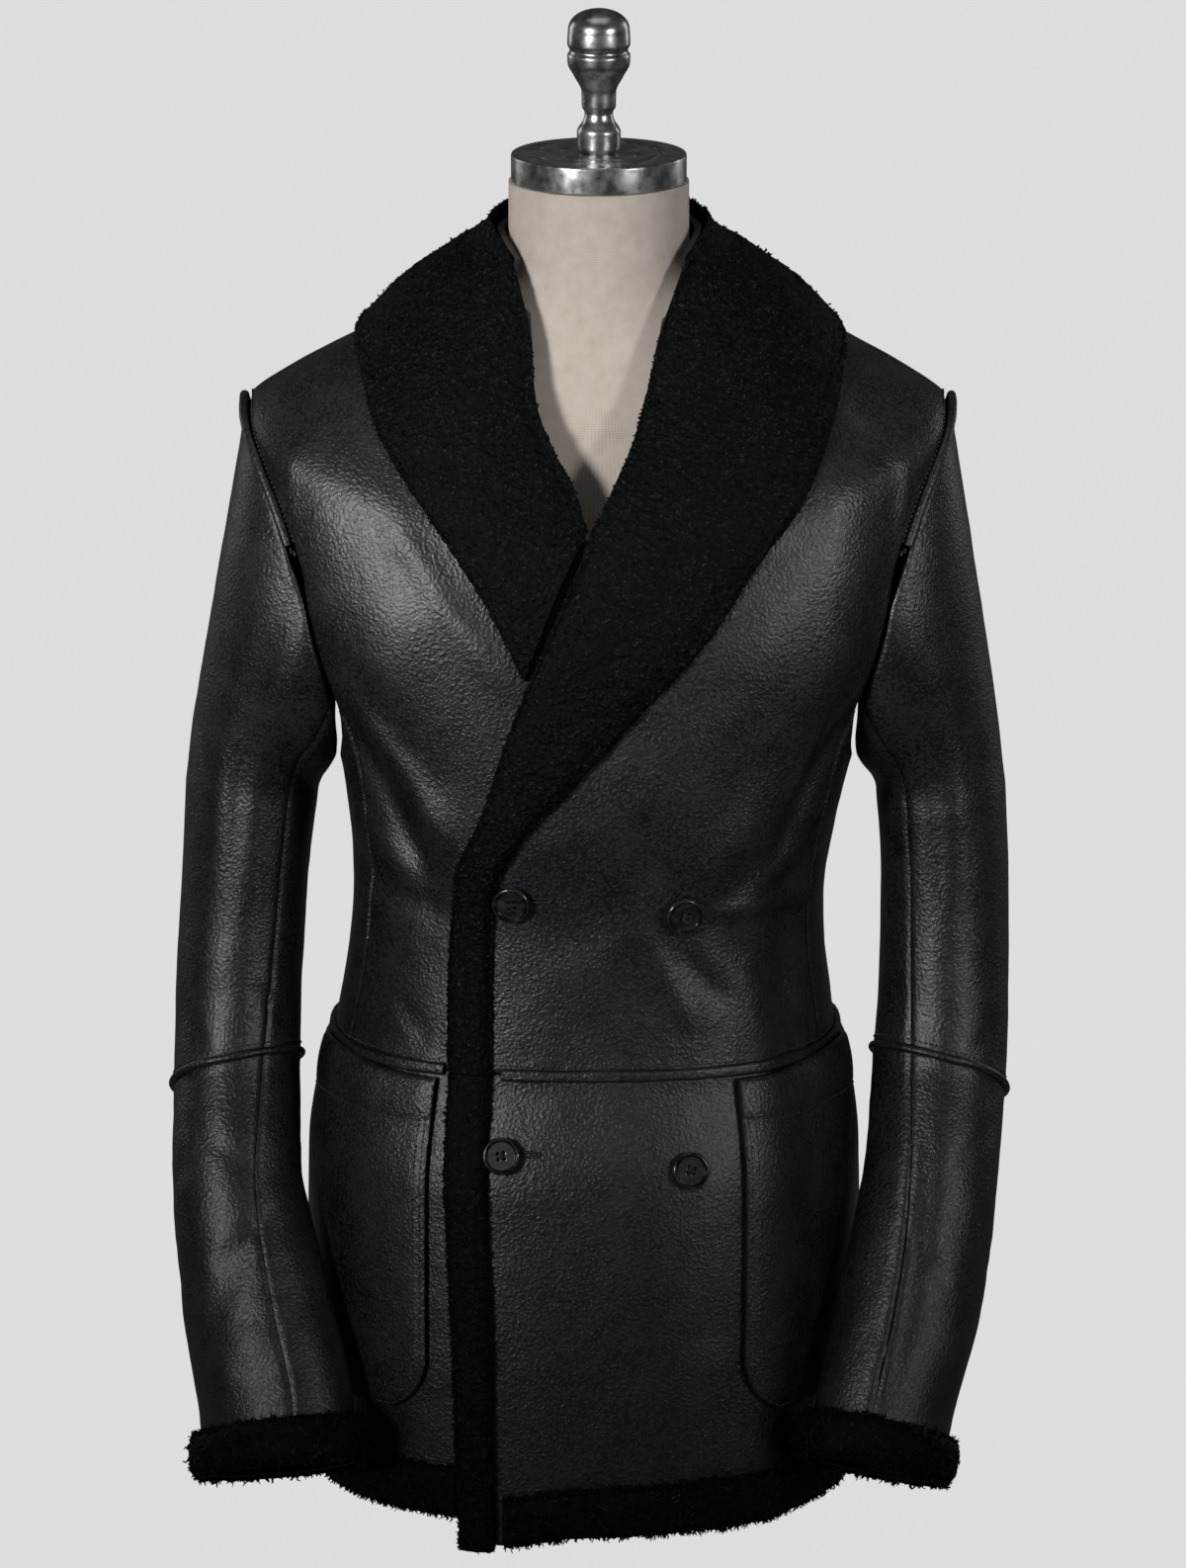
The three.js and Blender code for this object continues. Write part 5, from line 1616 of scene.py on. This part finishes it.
@dataclass
class Welts:
    """Rounded welts of folded leather over the elbow, waist and armhole seams."""

    cloth: CoatCloth
    wardrobe: Wardrobe
    sleeves: Sleeves
    radius: float = 2.6
    lift: float = 0.7
    root: float = 1.9  # how far a half-round welt reaches into its seam
    armhole_lift: float = 1.9
    armhole_turns: tuple[float, float] = (-100, 66)

    def welt(
        self, name: str, points: Array, normals: Array, closed: bool, cord: bool, full: float = 1
    ) -> None:
        """Makes one welt, slightly uneven along its length.

        Args:
            name: The welt's name.
            points: The path of its middle.
            normals: The surface's normals there.
            closed: Whether the path's ends meet.
            cord: Whether it is a whole cord, or half-round with a flat underside.
            full: Its radius for the usual one.
        """
        _, side = path_frame(points, normals, closed)
        turn = np.radians(np.arange(0, 360, 20) if cord else np.linspace(0, 180, 13))
        radius = self.radius * full
        profile = radius * np.stack([np.cos(turn), np.sin(turn)], -1)
        if not cord:
            profile[:, 1] = np.minimum(profile[:, 1], self.radius * (1 - (1 - profile[:, 1] / radius) ** 2) * 1.15)
            profile = np.concatenate([profile, [[-0.85 * radius, -self.root], [0.85 * radius, -self.root]]])
        base = points if cord else points + normals * self.lift
        swell = 1 + 0.05 * lumps(points, 6, 91) + 0.05 * lumps(points, 19, 95)
        made, faces = carry(base, side * swell[:, None], normals * swell[:, None], profile, closed)
        piece = make_mesh(f"{name}_dressed", made, faces, [self.wardrobe.leather], 70)
        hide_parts(name)
        length = np.linalg.norm(np.diff(points, axis=0), axis=-1).sum() * MM

    def build(self) -> None:
        """Makes the welts of both sleeves and the waist."""
        for side in (-1, 1):
            tube = SleeveTube(self.cloth, self.sleeves.armhole, side)
            turn = np.linspace(0, 2 * math.pi, 150, endpoint=False)
            along = self.sleeves.elbow_at(turn)
            self.welt(
                f"elbow_welt_{tube.word}", tube.at(turn, along), -tube.inward(turn, along), True, False,
            )
            points, normals = self.armhole_path(tube, 110)
            self.welt(f"armhole_welt_{tube.word}", points, normals, False, True, 1.15)
        for name, start, end, lift in (
            ("waist_welt_right", -179.8, -29.5, no_lift),
            ("waist_welt_left", -14.6, 179.8, self.cloth.lap_lift),
        ):
            angle = np.linspace(start, end, 260)
            level = np.full_like(angle, self.cloth.waist)
            points = self.cloth.on(angle, level, lift(angle, level) + self.cloth.seam)
            normals = self.cloth.surface.normal(angle, level)
            self.welt(name, points, normals, False, False, 1.5)

    def armhole_path(self, tube: SleeveTube, count: int) -> tuple[Array, Array]:
        """The middle of an armhole welt and its normals."""
        turn = np.radians(np.linspace(*self.armhole_turns, count))
        angle, level = tube.armhole.place(turn)
        surface = self.cloth.surface
        normal = surface.normal(tube.side * angle, level) - tube.inward(turn, np.full_like(turn, -0.97))
        normal = unit(normal)
        return surface.point(tube.side * angle, level) + normal * self.armhole_lift, normal


@dataclass
class Pockets:
    """Two patch pockets with round lower corners, whose mouths stand open at the side."""

    cloth: CoatCloth
    wardrobe: Wardrobe
    inner: float = 31
    outer: float = 93
    top: float = 306
    bottom: float = 92
    corner_degrees: float = 14
    corner_height: float = 38
    wall: float = 4
    gape: float = 4
    width: float = 150.0  # mm from edge to edge
    mouth_rise: float = 4
    welt_radius: float = 2.6
    gaps: dict[int, float] = field(default_factory=lambda: {-1: 1.9, 1: 2.5})

    def at(self, sign: int, u: Array, v: Array, lift: Array | float = 0.0) -> Array:
        """A point of a pocket's outer surface, u from its inner edge to its outer one and v from the bottom up."""
        u, v = np.broadcast_arrays(np.asarray(u, float), np.asarray(v, float))
        corner = np.maximum(0, 1 - v * (self.top - self.bottom) / self.corner_height)
        cut = self.corner_degrees * (1 - np.sqrt(1 - corner**2))
        angle = mix(self.inner + cut, self.outer - cut, u)
        opened, end = ramp(angle, 42, 70), ramp(angle, 76, 92)
        high = self.top - self.welt_radius + (self.mouth_rise + self.welt_radius) * opened - 3.5 * end
        level = mix(self.bottom, high, v)
        gape = self.gape * opened * (1 - 0.95 * end) * ramp(v, 0.55, 1)
        base = self.cloth.lap_lift(angle, level) if sign > 0 else 0
        gap = self.gaps[sign] * (1 - 0.85 * end * ramp(v, 0.4, 0.9))
        return self.cloth.on(sign * angle, level, base + gap + gape + self.wall + lift)

    def groove(self, u: Array, v: Array) -> Array:
        """The shallow grooves that the stitching draws inside the edges and below the mouth's band."""
        height = self.top - self.bottom
        edge = np.minimum(np.minimum(u, 1 - u) * self.width, v * height)
        band = (v - self.band_at(u)) * height
        mouth = np.clip((v - self.band_at(u)) / (1 - self.band_at(u)), 0, 1)
        puff = 0.35 * np.exp(-(((edge - 9) / 6) ** 2)) + 1.5 * np.sin(math.pi * mouth)
        return puff - 0.55 * np.exp(-(((edge - 3.2) / 1.3) ** 2)) - 0.55 * np.exp(-((band / 1.4) ** 2))

    def band_at(self, u: Array) -> Array:
        """Where the stitching of the mouth's band runs, as a share of the height."""
        return 0.872 - 0.03 * u

    def build(self) -> None:
        """Makes both pockets."""
        for sign, word in ((-1, "right"), (1, "left")):
            u, v = shares(70, 0.45)[None, :], shares(104, 0.35)[:, None]
            outer = self.at(sign, u, v, self.groove(u, v) - 0.2)
            normals = outward(outer)
            distance = border_distance(outer, False)
            roll = -0.9 * np.exp(-((distance / 1.3) ** 2)) + 0.16 * lumps(outer, 14, 45)
            inner = self.at(sign, shares(14)[None, :], v, -self.wall)
            shell = Shell(outer + normals * roll[..., None], inner)
            piece_on = [f"skirt_{word}"]
            shell.build(f"pocket_{word}", self.wardrobe.leather, self.wardrobe.leather, Held.FLAT, piece_on)


@dataclass
class Stitching:
    """Rows of topstitching beside the welts and round the pockets, and the bar tacks at the armholes."""

    cloth: CoatCloth
    wardrobe: Wardrobe
    sleeves: Sleeves
    pockets: Pockets
    welts: Welts
    pitch: float = 3.3
    stitch: float = 2.5
    thick: float = 0.46

    def row(self, name: str, points: Array, normals: Array) -> None:
        """Makes one row of stitches along a path that lies on a surface.

        A stitch of length L is a square cord whose middle lies at 0.42 - 0.8·(2t)⁴ over the leather for t from
        -1/2 to 1/2, so that both its ends sink in.

        Args:
            name: The row's name.
            points: The path.
            normals: The surface's normals there.
        """
        run = np.pad(np.cumsum(np.linalg.norm(np.diff(points, axis=0), axis=-1)), (1, 0))
        at = np.arange(self.pitch / 2, run[-1] - self.pitch / 2, self.pitch)

        def read(values: Array) -> Array:
            """The values at the middle of each stitch."""
            return np.stack([np.interp(at, run, values[:, k]) for k in range(3)], -1)

        centre, up = read(points), unit(read(normals))
        along, side = path_frame(points, normals, False)
        along, side = unit(read(along)), unit(read(side))
        t = np.array([-0.5, -0.3, 0.0, 0.3, 0.5])[None, :, None]
        path = centre[:, None] + along[:, None] * self.stitch * t + up[:, None] * (0.42 - 0.8 * (2 * t) ** 4)
        turn = np.radians([0, 90, 180, 270])[None, None, :, None]
        ring = side[:, None, None] * np.cos(turn) + up[:, None, None] * np.sin(turn)
        made = path[:, :, None] + ring * self.thick
        count, steps = path.shape[:2]
        index = np.arange(count * steps * 4).reshape(count, steps, 4)
        faces = tube_quads(index)
        faces += index[:, 0, ::-1].tolist() + index[:, -1].tolist()
        make_mesh(name, made.reshape(-1, 3), faces, [self.wardrobe.thread])

    def on_body(self, angle: Array, level: Array, lift: Array | float) -> tuple[Array, Array]:
        """A path on the bodice or skirt with its normals."""
        return self.cloth.on(angle, level, lift, True), self.cloth.surface.normal(angle, level)

    def build(self) -> None:
        """Makes every row."""
        for name, start, end, lap in (("right", -178, -30.5, False), ("left", -17, 178, True)):
            angle = np.linspace(start, end, 420)
            level = np.full_like(angle, self.cloth.waist + 5.6)
            lift = self.cloth.lap_lift(angle, level) if lap else 0
            self.row(f"stitches_waist_{name}", *self.on_body(angle, level, lift))
        for side in (-1, 1):
            tube = SleeveTube(self.cloth, self.sleeves.armhole, side)
            turn = np.linspace(0, 2 * math.pi, 260)
            along = self.sleeves.elbow_at(turn) + 6.2
            self.row(f"stitches_elbow_{tube.word}", tube.at(turn, along, 0, True), -tube.inward(turn, along))
            self.armhole_row(tube)
            self.pocket_rows(side, tube.word)

    def armhole_row(self, tube: SleeveTube) -> None:
        """Makes the row on the body side of an armhole welt, and the bar tack at its front end."""
        turn = np.radians(np.linspace(*self.welts.armhole_turns, 160))
        angle, level = tube.armhole.place(turn)
        # The row runs 6.5 mm outside the ellipse, which is 2.6 mm to a degree.
        away_angle = -np.sin(turn) * 6.5 / self.cloth.degree
        path_angle = tube.side * (angle + away_angle)
        path_level = level + 6.5 * np.cos(turn) * 0.7
        points, normals = self.on_body(path_angle, path_level, 0.0)
        self.row(f"stitches_armhole_{tube.word}", points, normals)
        end = tube.side * (angle[-1] + away_angle[-1] * np.linspace(1.0, -0.1, 9))
        for k in range(3):
            tack, up = self.on_body(end, np.full(9, level[-1] - 1.2 - 0.9 * k), 0.3)
            self.row(f"bar_tack_{tube.word}_{k}", tack, up)

    def pocket_rows(self, side: int, word: str) -> None:
        """Makes the rows round one pocket: one inside its edge, a second down its front, and one under its band."""
        steps = np.linspace(0, 1, 60)
        edge, low = 0.021, 0.015
        u = np.concatenate([np.full(60, edge), mix(edge, 1 - edge, steps), np.full(60, 1 - edge)])
        v = np.concatenate([mix(0.99, low, steps), np.full(60, low), mix(low, 0.99, steps)])
        outline = self.pockets.at(side, u, v, -0.62)
        self.row(f"stitches_pocket_{word}", outline, self.normals_at(outline))
        inside = self.pockets.at(side, np.full(60, 0.046), mix(0.99, 0.2, steps), 0.1)
        self.row(f"stitches_pocket_front_{word}", inside, self.normals_at(inside))
        across = mix(0.03, 0.97, steps)
        band = self.pockets.at(side, across, self.pockets.band_at(across), -0.62)
        self.row(f"stitches_pocket_band_{word}", band, self.normals_at(band))

    def normals_at(self, points: Array) -> Array:
        """Directions away from the body's axis, good enough for stitches that lie on a nearly upright surface."""
        return unit(points * [1, 1.35, 0])


@dataclass
class Buttons:
    """Four turned horn buttons, each with four holes and crossed thread, and the worked buttonholes."""

    cloth: CoatCloth
    wardrobe: Wardrobe
    radius: float = 11.8
    thickness: float = 4
    rim: float = 2.2
    dish: float = 1.3
    hole: float = 1.0
    spread: float = 2.6
    standoff: float = 3
    shank: float = 1.5
    shank_gap: float = 0.8
    places: dict[str, tuple[float, float, float]] = field(
        default_factory=lambda: {
            "button_upper_fastened": (-14.5, 420, 0),
            "button_upper_show": (18, 412.5, -1),
            "button_lower_fastened": (-13.5, 259, 0),
            "button_lower_show": (18.5, 250, 1.7),
        }
    )

    def profile(self) -> Array:
        """The button's turned section from the middle of its underside, over the rim, to the middle of its top."""
        rise = self.shank_gap - self.standoff
        rim_in = self.radius - self.rim - 0.6
        corners = [(0, rise), (self.shank, rise), (self.shank, 0), (self.radius - 2.4, 0)]
        turn = np.radians(np.linspace(-70, 90, 12))
        edge = np.stack([self.radius - 1.5 + 1.5 * np.cos(turn), 2.1 + 1.9 * np.sin(turn)], -1)
        inner = np.radians(np.linspace(90, 0, 7))
        slope = np.stack([rim_in + 1.35 * (1 - np.cos(inner[::-1])), self.thickness - self.dish * np.sin(inner[::-1])], -1)
        face = np.stack([np.linspace(rim_in, 0, 30), np.full(30, self.thickness - self.dish)], -1)
        return np.concatenate([corners, edge, slope[::-1], face[1:]])

    def disc(self, name: str, matrix: Array, origin: Array) -> None:
        """Makes one button and sinks its holes."""
        points, faces = lathe(self.profile(), 72)
        for turn in np.radians([45, 135, 225, 315]):
            gap = np.hypot(points[:, 0] - self.spread * math.cos(turn), points[:, 1] - self.spread * math.sin(turn))
            sink = 1.9 * (1 - ramp(gap, self.hole * 0.75, self.hole * 1.2))
            points[:, 2] -= np.where(points[:, 2] > 1, sink, 0)
        piece = make_mesh(f"{name}_dressed", points @ matrix.T + origin, faces, [self.wardrobe.horn], 60)
        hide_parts(name)

    def thread(self, name: str, matrix: Array, origin: Array) -> None:
        """Makes the thread that crosses between the holes, three strands each way."""
        parts, faces, base = [], [], 0
        top = self.thickness - self.dish
        for turn in np.radians([45, 135]):
            ahead = np.array([math.cos(turn), math.sin(turn), 0])
            side = np.array([-math.sin(turn), math.cos(turn), 0])
            for shift in (-0.5, 0.0, 0.5):
                t = np.linspace(-1, 1, 13)[:, None]
                path = ahead * self.spread * t + side * shift * (1 - 0.4 * t**2)
                path[:, 2] = top - 0.9 + 1.75 * np.sqrt(np.clip(1 - t[:, 0] ** 4, 0, 1)) - abs(shift) * 0.4
                along, across = path_frame(path, np.array([[0, 0, 1.0]]).repeat(13, 0), False)
                ring = np.radians(np.arange(0, 360, 60))
                made, quads = carry(
                    path, across, np.cross(across, along), 0.36 * np.stack([np.cos(ring), np.sin(ring)], -1), False
                )
                parts.append(made)
                faces += [[i + base for i in face] for face in quads]
                base += len(made)
        points = np.concatenate(parts)
        make_mesh(f"thread_{name}", points @ matrix.T + origin, faces, [self.wardrobe.twist])

    def buttonhole(self, name: str, start: float, end: float, level: float) -> None:
        """Makes a worked buttonhole: a long loop of close stitches round a slit.

        Args:
            name: The buttonhole's name.
            start: The angle of its first end.
            end: The angle of its second end.
            level: Its level.
        """
        turn = np.linspace(0, 2 * math.pi, 120, endpoint=False)
        middle, half = (start + end) / 2, (end - start) / 2
        long = np.sign(np.cos(turn)) * np.abs(np.cos(turn)) ** 0.6
        angle = middle + half * long
        height = level + 1.25 * np.sign(np.sin(turn)) * np.abs(np.sin(turn)) ** 0.8
        lift = self.cloth.lap_lift(angle, height)
        points = self.cloth.on(angle, height, lift + 0.25, True)
        normals = self.cloth.surface.normal(angle, height)
        _, side = path_frame(points, normals, True)
        ring = np.radians(np.arange(0, 360, 45))
        profile = np.stack([0.95 * np.cos(ring), 0.6 * np.sin(ring)], -1)
        ridge = 1 + 0.14 * np.sin(turn * 60)[:, None]
        made, faces = carry(points, side * ridge, normals * ridge, profile, True)
        make_mesh(name, made, faces, [self.wardrobe.twist])

    def build(self) -> None:
        """Makes the buttons, their threads and the buttonholes."""
        for name, (angle, level, sink) in self.places.items():
            a, z = np.array(float(angle)), np.array(float(level))
            lift = float(self.cloth.lap_lift(a, z)) + self.standoff - sink
            origin = self.cloth.on(a, z, lift)
            normal = Vector(self.cloth.surface.normal(a, z).tolist())
            matrix = np.array(Vector((0, 0, 1)).rotation_difference(normal).to_matrix())
            self.disc(name, matrix, origin)
            self.thread(name, matrix, origin)
        self.buttonhole("buttonhole_upper", -13.5, -6.3, 422)
        self.buttonhole("buttonhole_lower", -12.5, -6.4, 260.5)


def lathe(profile: Array, segments: int) -> tuple[Array, list[list[int]]]:
    """Turns a profile of radii and heights round the z axis, closed by one point at each end.

    Args:
        profile: Radius and height of each row, the first and last with radius 0.
        segments: Steps round the axis.
    Returns:
        The points and the faces.
    """
    turn = np.linspace(0, 2 * math.pi, segments, endpoint=False)
    rows = profile[1:-1]
    rings = np.stack(
        [rows[:, :1] * np.cos(turn), rows[:, :1] * np.sin(turn), np.repeat(rows[:, 1:], segments, 1)], -1
    )
    points = np.concatenate([rings.reshape(-1, 3), [[0, 0, profile[0, 1]], [0, 0, profile[-1, 1]]]])
    index = np.arange(len(rows) * segments).reshape(len(rows), segments)
    after = np.roll(index, -1, axis=1)
    faces = tube_quads(index)
    first, last = len(points) - 2, len(points) - 1
    faces += np.stack([np.full(segments, first), after[0], index[0]], -1).tolist()
    faces += np.stack([index[-1], after[-1], np.full(segments, last)], -1).tolist()
    return points, faces


@dataclass
class DressForm:
    """The limbless dress form: a linen torso with a flat base, a metal neck cap and a turned knob."""

    wardrobe: Wardrobe
    surface: RingSurface = field(default_factory=lambda: RingSurface(FORM_RINGS))
    neck_top: float = 847.6
    cap_radius: float = 54.5
    cap_height: float = 17
    cap_bottom: float = 848
    rim: float = 1.5
    groove: float = 1.2
    groove_radii: tuple[float, float] = (38.6, 25)
    axis: tuple[float, float] = (0.5, 0.5)
    around: int = 120
    girth: float = 760.0  # mm round the form, for the weave

    def torso(self) -> None:
        """Makes the linen torso as rings from its base to its neck, with the weave's own UV map."""
        level = np.concatenate([np.linspace(0, 620, 72), np.linspace(623, 775, 44), np.linspace(780, self.neck_top, 14)])
        angle = np.linspace(0, 360, self.around, endpoint=False)
        grid = self.surface.point(angle[None, :], level[:, None])
        grid[0, :, 2], grid[-1, :, 2] = 0, self.neck_top
        index = np.arange(grid[..., 0].size).reshape(grid.shape[:2])
        faces = tube_quads(index)
        faces += [index[0, ::-1].tolist(), index[-1].tolist()]
        piece = make_mesh("form_torso_dressed", grid.reshape(-1, 3), faces, [self.wardrobe.linen], 55)
        corners = np.zeros(len(piece.data.loops), np.int32)
        piece.data.loops.foreach_get("vertex_index", corners)
        column, row = corners % self.around, corners // self.around
        u = column / self.around * self.girth * MM
        start = np.repeat(np.arange(len(piece.data.polygons)), [len(p.vertices) for p in piece.data.polygons])
        low = np.full(len(piece.data.polygons), 1e9)
        np.minimum.at(low, start, column)
        u = np.where((column - low[start]) > self.around / 2, u - self.girth * MM, u)
        layer = piece.data.uv_layers.new(name="cloth")
        layer.data.foreach_set("uv", np.stack([u, level[row] * MM], -1).reshape(-1))
        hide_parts("form_torso")

    def cap(self) -> None:
        """Makes the neck cap, a spun disc with a rounded rim and two turned grooves."""
        top, r = self.cap_height, self.cap_radius
        turn = np.radians(np.linspace(0, 90, 7))
        rim = np.stack([r - self.rim + self.rim * np.cos(turn), top - self.rim + self.rim * np.sin(turn)], -1)
        rows = [(0, 0), (r - 0.6, 0), (r, 0.6), *rim.tolist()]
        for groove in self.groove_radii:
            span = np.linspace(1, -1, 9)
            dip = np.stack([groove + self.groove * span, top - self.groove * np.cos(span * math.pi / 2) ** 2], -1)
            rows += dip.tolist()
        self.place("form_neck_cap", np.array(rows + [(0, top)]), 160, self.cap_bottom)

    def knob(self) -> None:
        """Makes the turned knob on the cap, its profile rounded between its turned edges."""
        heights = [0, 4, 13, 21, 25, 29, 38, 48, 56, 61, 64, 68, 76, 84, 90]
        radii = [11, 13.4, 13.6, 9.5, 8.8, 10.6, 10.8, 15.5, 19.4, 19.6, 18, 19.6, 19.2, 15, 0.4]
        at = np.linspace(0, 90, 120)
        curve = smooth_curve(np.array(heights, float), np.array(radii, float))(at)
        dome = np.where(at > 76, 19.2 * np.sqrt(1 - (np.maximum(at - 76, 0) / 14) ** 2.3), curve)
        profile = np.concatenate([[(0, 0)], np.stack([np.maximum(dome, 0.3), at], -1), [(0, 90)]])
        self.place("form_finial", profile, 96, self.cap_bottom + self.cap_height + 0.3)

    def place(self, name: str, profile: Array, segments: int, bottom: float) -> None:
        """Turns one metal part in its place."""
        points, faces = lathe(profile, segments)
        piece = make_mesh(f"{name}_dressed", points + [*self.axis, bottom], faces, [self.wardrobe.steel], 40)
        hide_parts(name)

    def build(self) -> None:
        """Makes the form."""
        self.torso()
        self.cap()
        self.knob()


@dataclass
class FurTips:
    """Loose locks of wool along the edges of the fur and scattered over it, so that its outline is ragged."""

    wardrobe: Wardrobe
    locks: Locks = field(default_factory=Locks)
    edge_spacing: float = 1.4
    spread_area: float = 52.0  # mm² of fur for each lock away from the edges
    scales: dict[str, float] = field(
        default_factory=lambda: {"facing_left": 0.62, "facing_right": 0.62, "facing_skirt_left": 0.75}
    )
    fringe: float = 1.25  # at the hem and cuffs

    def build(self, furs: list[tuple[str, Array, Array]]) -> None:
        """Grows locks on each fur surface.

        Args:
            furs: Name, grid of points and grid of normals of each fur piece.
        """
        for number, (name, grid, normals) in enumerate(furs):
            rng = np.random.default_rng(100 + number)
            rows, columns, _ = grid.shape
            roots, ups, leans = [], [], []
            for end, inner in ((0, 2), (columns - 1, columns - 3)):
                length = np.linalg.norm(np.diff(grid[:, end], axis=0), axis=-1).sum()
                count = int(length / self.edge_spacing * 1.6)
                i = rng.integers(0, rows, count)
                j = np.clip(end + (1 if end == 0 else -1) * rng.integers(0, 4, count), 0, columns - 1)
                roots.append(grid[i, j])
                ups.append(normals[i, j])
                leans.append(unit(grid[i, end] - grid[i, inner]) * 1.4)
            sizes = np.linalg.norm(np.cross(np.diff(grid, axis=0)[:, :-1], np.diff(grid, axis=1)[:-1]), axis=-1)
            count = int(sizes.sum() / self.spread_area)
            pick = rng.choice(sizes.size, count, p=(sizes / sizes.sum()).reshape(-1))
            i, j = np.unravel_index(pick, sizes.shape)
            roots.append(grid[i, j] + rng.normal(size=(count, 3)) * 0.5)
            ups.append(normals[i, j])
            leans.append(rng.normal(size=(count, 3)) * 0.5)
            parts = [np.concatenate(part) for part in (roots, ups, leans)]
            self.locks.build(f"locks_{name}", *parts, self.wardrobe.fur, self.scales.get(name, self.fringe))


@dataclass
class Studio:
    """The photograph's view, a pale floor and soft studio lights."""

    distance: float = 7.4
    elevation: float = 13.5
    frame_height: float = 0.98332
    look_at: tuple[float, float, float] = (-0.0031, 0.0, 0.463)
    pale: str = "dfdfdf"
    floor_radius: float = 40000  # mm, so that its edge lies beyond the picture
    floor_sides: int = 96

    def camera(self) -> None:
        """Makes the camera, whose lens shows frame_height at the coat's axis."""
        data = bpy.data.cameras.new("view")
        data.sensor_fit, data.sensor_height = "VERTICAL", 36.0
        data.lens = 36.0 * self.distance / self.frame_height
        data.clip_end = 100
        e = math.radians(self.elevation)
        target = Vector(self.look_at)
        place = target + Vector((0, -math.cos(e), math.sin(e))) * self.distance
        eye = bpy.data.objects.new("view", data)
        eye.location = place
        eye.rotation_euler = (target - place).to_track_quat("-Z", "Y").to_euler()
        bpy.context.scene.collection.objects.link(eye)
        bpy.context.scene.camera = eye

    def link(self, name: str, data: bpy.types.Light, place: Sequence[float], aim: Sequence[float]) -> None:
        """Places a light that faces a point."""
        lamp = bpy.data.objects.new(name, data)
        lamp.location = place
        lamp.rotation_euler = (Vector(aim) - Vector(place)).to_track_quat("-Z", "Y").to_euler()
        bpy.context.scene.collection.objects.link(lamp)

    def panel(self, name: str, place: Sequence[float], size: tuple[float, float], power: float) -> None:
        """Makes one softbox that faces the coat's middle."""
        data = bpy.data.lights.new(name, "AREA")
        data.shape, data.size, data.size_y, data.energy = "RECTANGLE", *size, power
        self.link(name, data, place, (0, 0, 0.5))

    def spot(self, name: str, place: Sequence[float], aim: Sequence[float], cone: float, power: float) -> None:
        """Makes one wide round lamp whose beam fades out from the middle of the chest to the hem."""
        data = bpy.data.lights.new(name, "SPOT")
        data.spot_size, data.spot_blend, data.shadow_soft_size, data.energy = math.radians(cone), 1.0, 0.5, power
        self.link(name, data, place, aim)

    def floor(self) -> None:
        """Makes a wide pale floor that glows a little, so that it stays even to its edge."""
        turn = np.linspace(0, 2 * math.pi, self.floor_sides, endpoint=False)
        points = self.floor_radius * np.stack([np.cos(turn), np.sin(turn), np.zeros_like(turn)], -1)
        mesh = bpy.data.meshes.new("floor")
        mesh.from_pydata(points * MM, [], [list(range(self.floor_sides))])
        made = bpy.data.materials.new("pale floor")
        made.use_nodes = True
        shader = made.node_tree.nodes["Principled BSDF"]
        shader.inputs["Base Color"].default_value = (0.03, 0.03, 0.03, 1)
        shader.inputs["Roughness"].default_value = 1.0
        shader.inputs["Specular IOR Level"].default_value = 0.0
        shader.inputs["Emission Color"].default_value = linear(self.pale)
        shader.inputs["Emission Strength"].default_value = 0.98
        mesh.materials.append(made)
        floor = bpy.data.objects.new("floor", mesh)
        floor.visible_diffuse = floor.visible_glossy = False
        bpy.context.scene.collection.objects.link(floor)

    def sky(self) -> None:
        """Sets the surroundings: pale to the eye, and dimmer as light so that black leather keeps its depth."""
        world = bpy.data.worlds.new("studio")
        bpy.context.scene.world = world
        world.use_nodes = True
        tree = world.node_tree
        tree.nodes.clear()
        seen = add(tree, "ShaderNodeBackground", {"Color": linear(self.pale), "Strength": 1.0})
        light = add(tree, "ShaderNodeBackground", {"Color": (0.9, 0.95, 1.0, 1), "Strength": 0.05})
        ray = add(tree, "ShaderNodeLightPath").outputs["Is Camera Ray"]
        both = add(
            tree, "ShaderNodeMixShader", {0: ray, 1: light.outputs["Background"], 2: seen.outputs["Background"]}
        )
        add(tree, "ShaderNodeOutputWorld", {"Surface": both.outputs["Shader"]})

    def build(self) -> None:
        """Makes the whole set."""
        bpy.context.scene.view_settings.view_transform = "Standard"
        self.camera()
        self.floor()
        self.sky()
        self.spot("key", (-2.5, -3.4, 1.6), (-0.06, 0, 0.7), 15.5, 860)
        self.spot("fill", (2.9, -3.0, 1.5), (0.14, 0, 0.68), 15.5, 350)
        self.panel("key_soft", (-2.5, -3.4, 1.6), (1.2, 1.2), 7)
        self.panel("fill_soft", (2.9, -3.0, 1.5), (1.2, 1.2), 5)
        self.panel("top", (0.0, -0.2, 3.0), (1.8, 1.2), 5)
        self.panel("rim_left", (-2.4, 1.8, 1.2), (0.6, 1.6), 7)
        self.panel("rim_right", (2.4, 1.8, 1.2), (0.6, 1.6), 7)


def main() -> None:
    """Builds the coat and its form piece by piece, then the set."""
    logging.basicConfig(level=logging.INFO, format="%(message)s")
    wardrobe, cloth = Wardrobe(), CoatCloth()
    Bodice(cloth, wardrobe).build()
    furs = Skirt(cloth, wardrobe).build()
    furs += Collar(cloth, wardrobe).build()
    sleeves = Sleeves(cloth, wardrobe)
    furs += sleeves.build()
    welts = Welts(cloth, wardrobe, sleeves)
    welts.build()
    pockets = Pockets(cloth, wardrobe)
    pockets.build()
    Stitching(cloth, wardrobe, sleeves, pockets, welts).build()
    Buttons(cloth, wardrobe).build()
    DressForm(wardrobe).build()
    FurTips(wardrobe).build(furs)
    Studio().build()


if __name__ == "__main__":
    main()
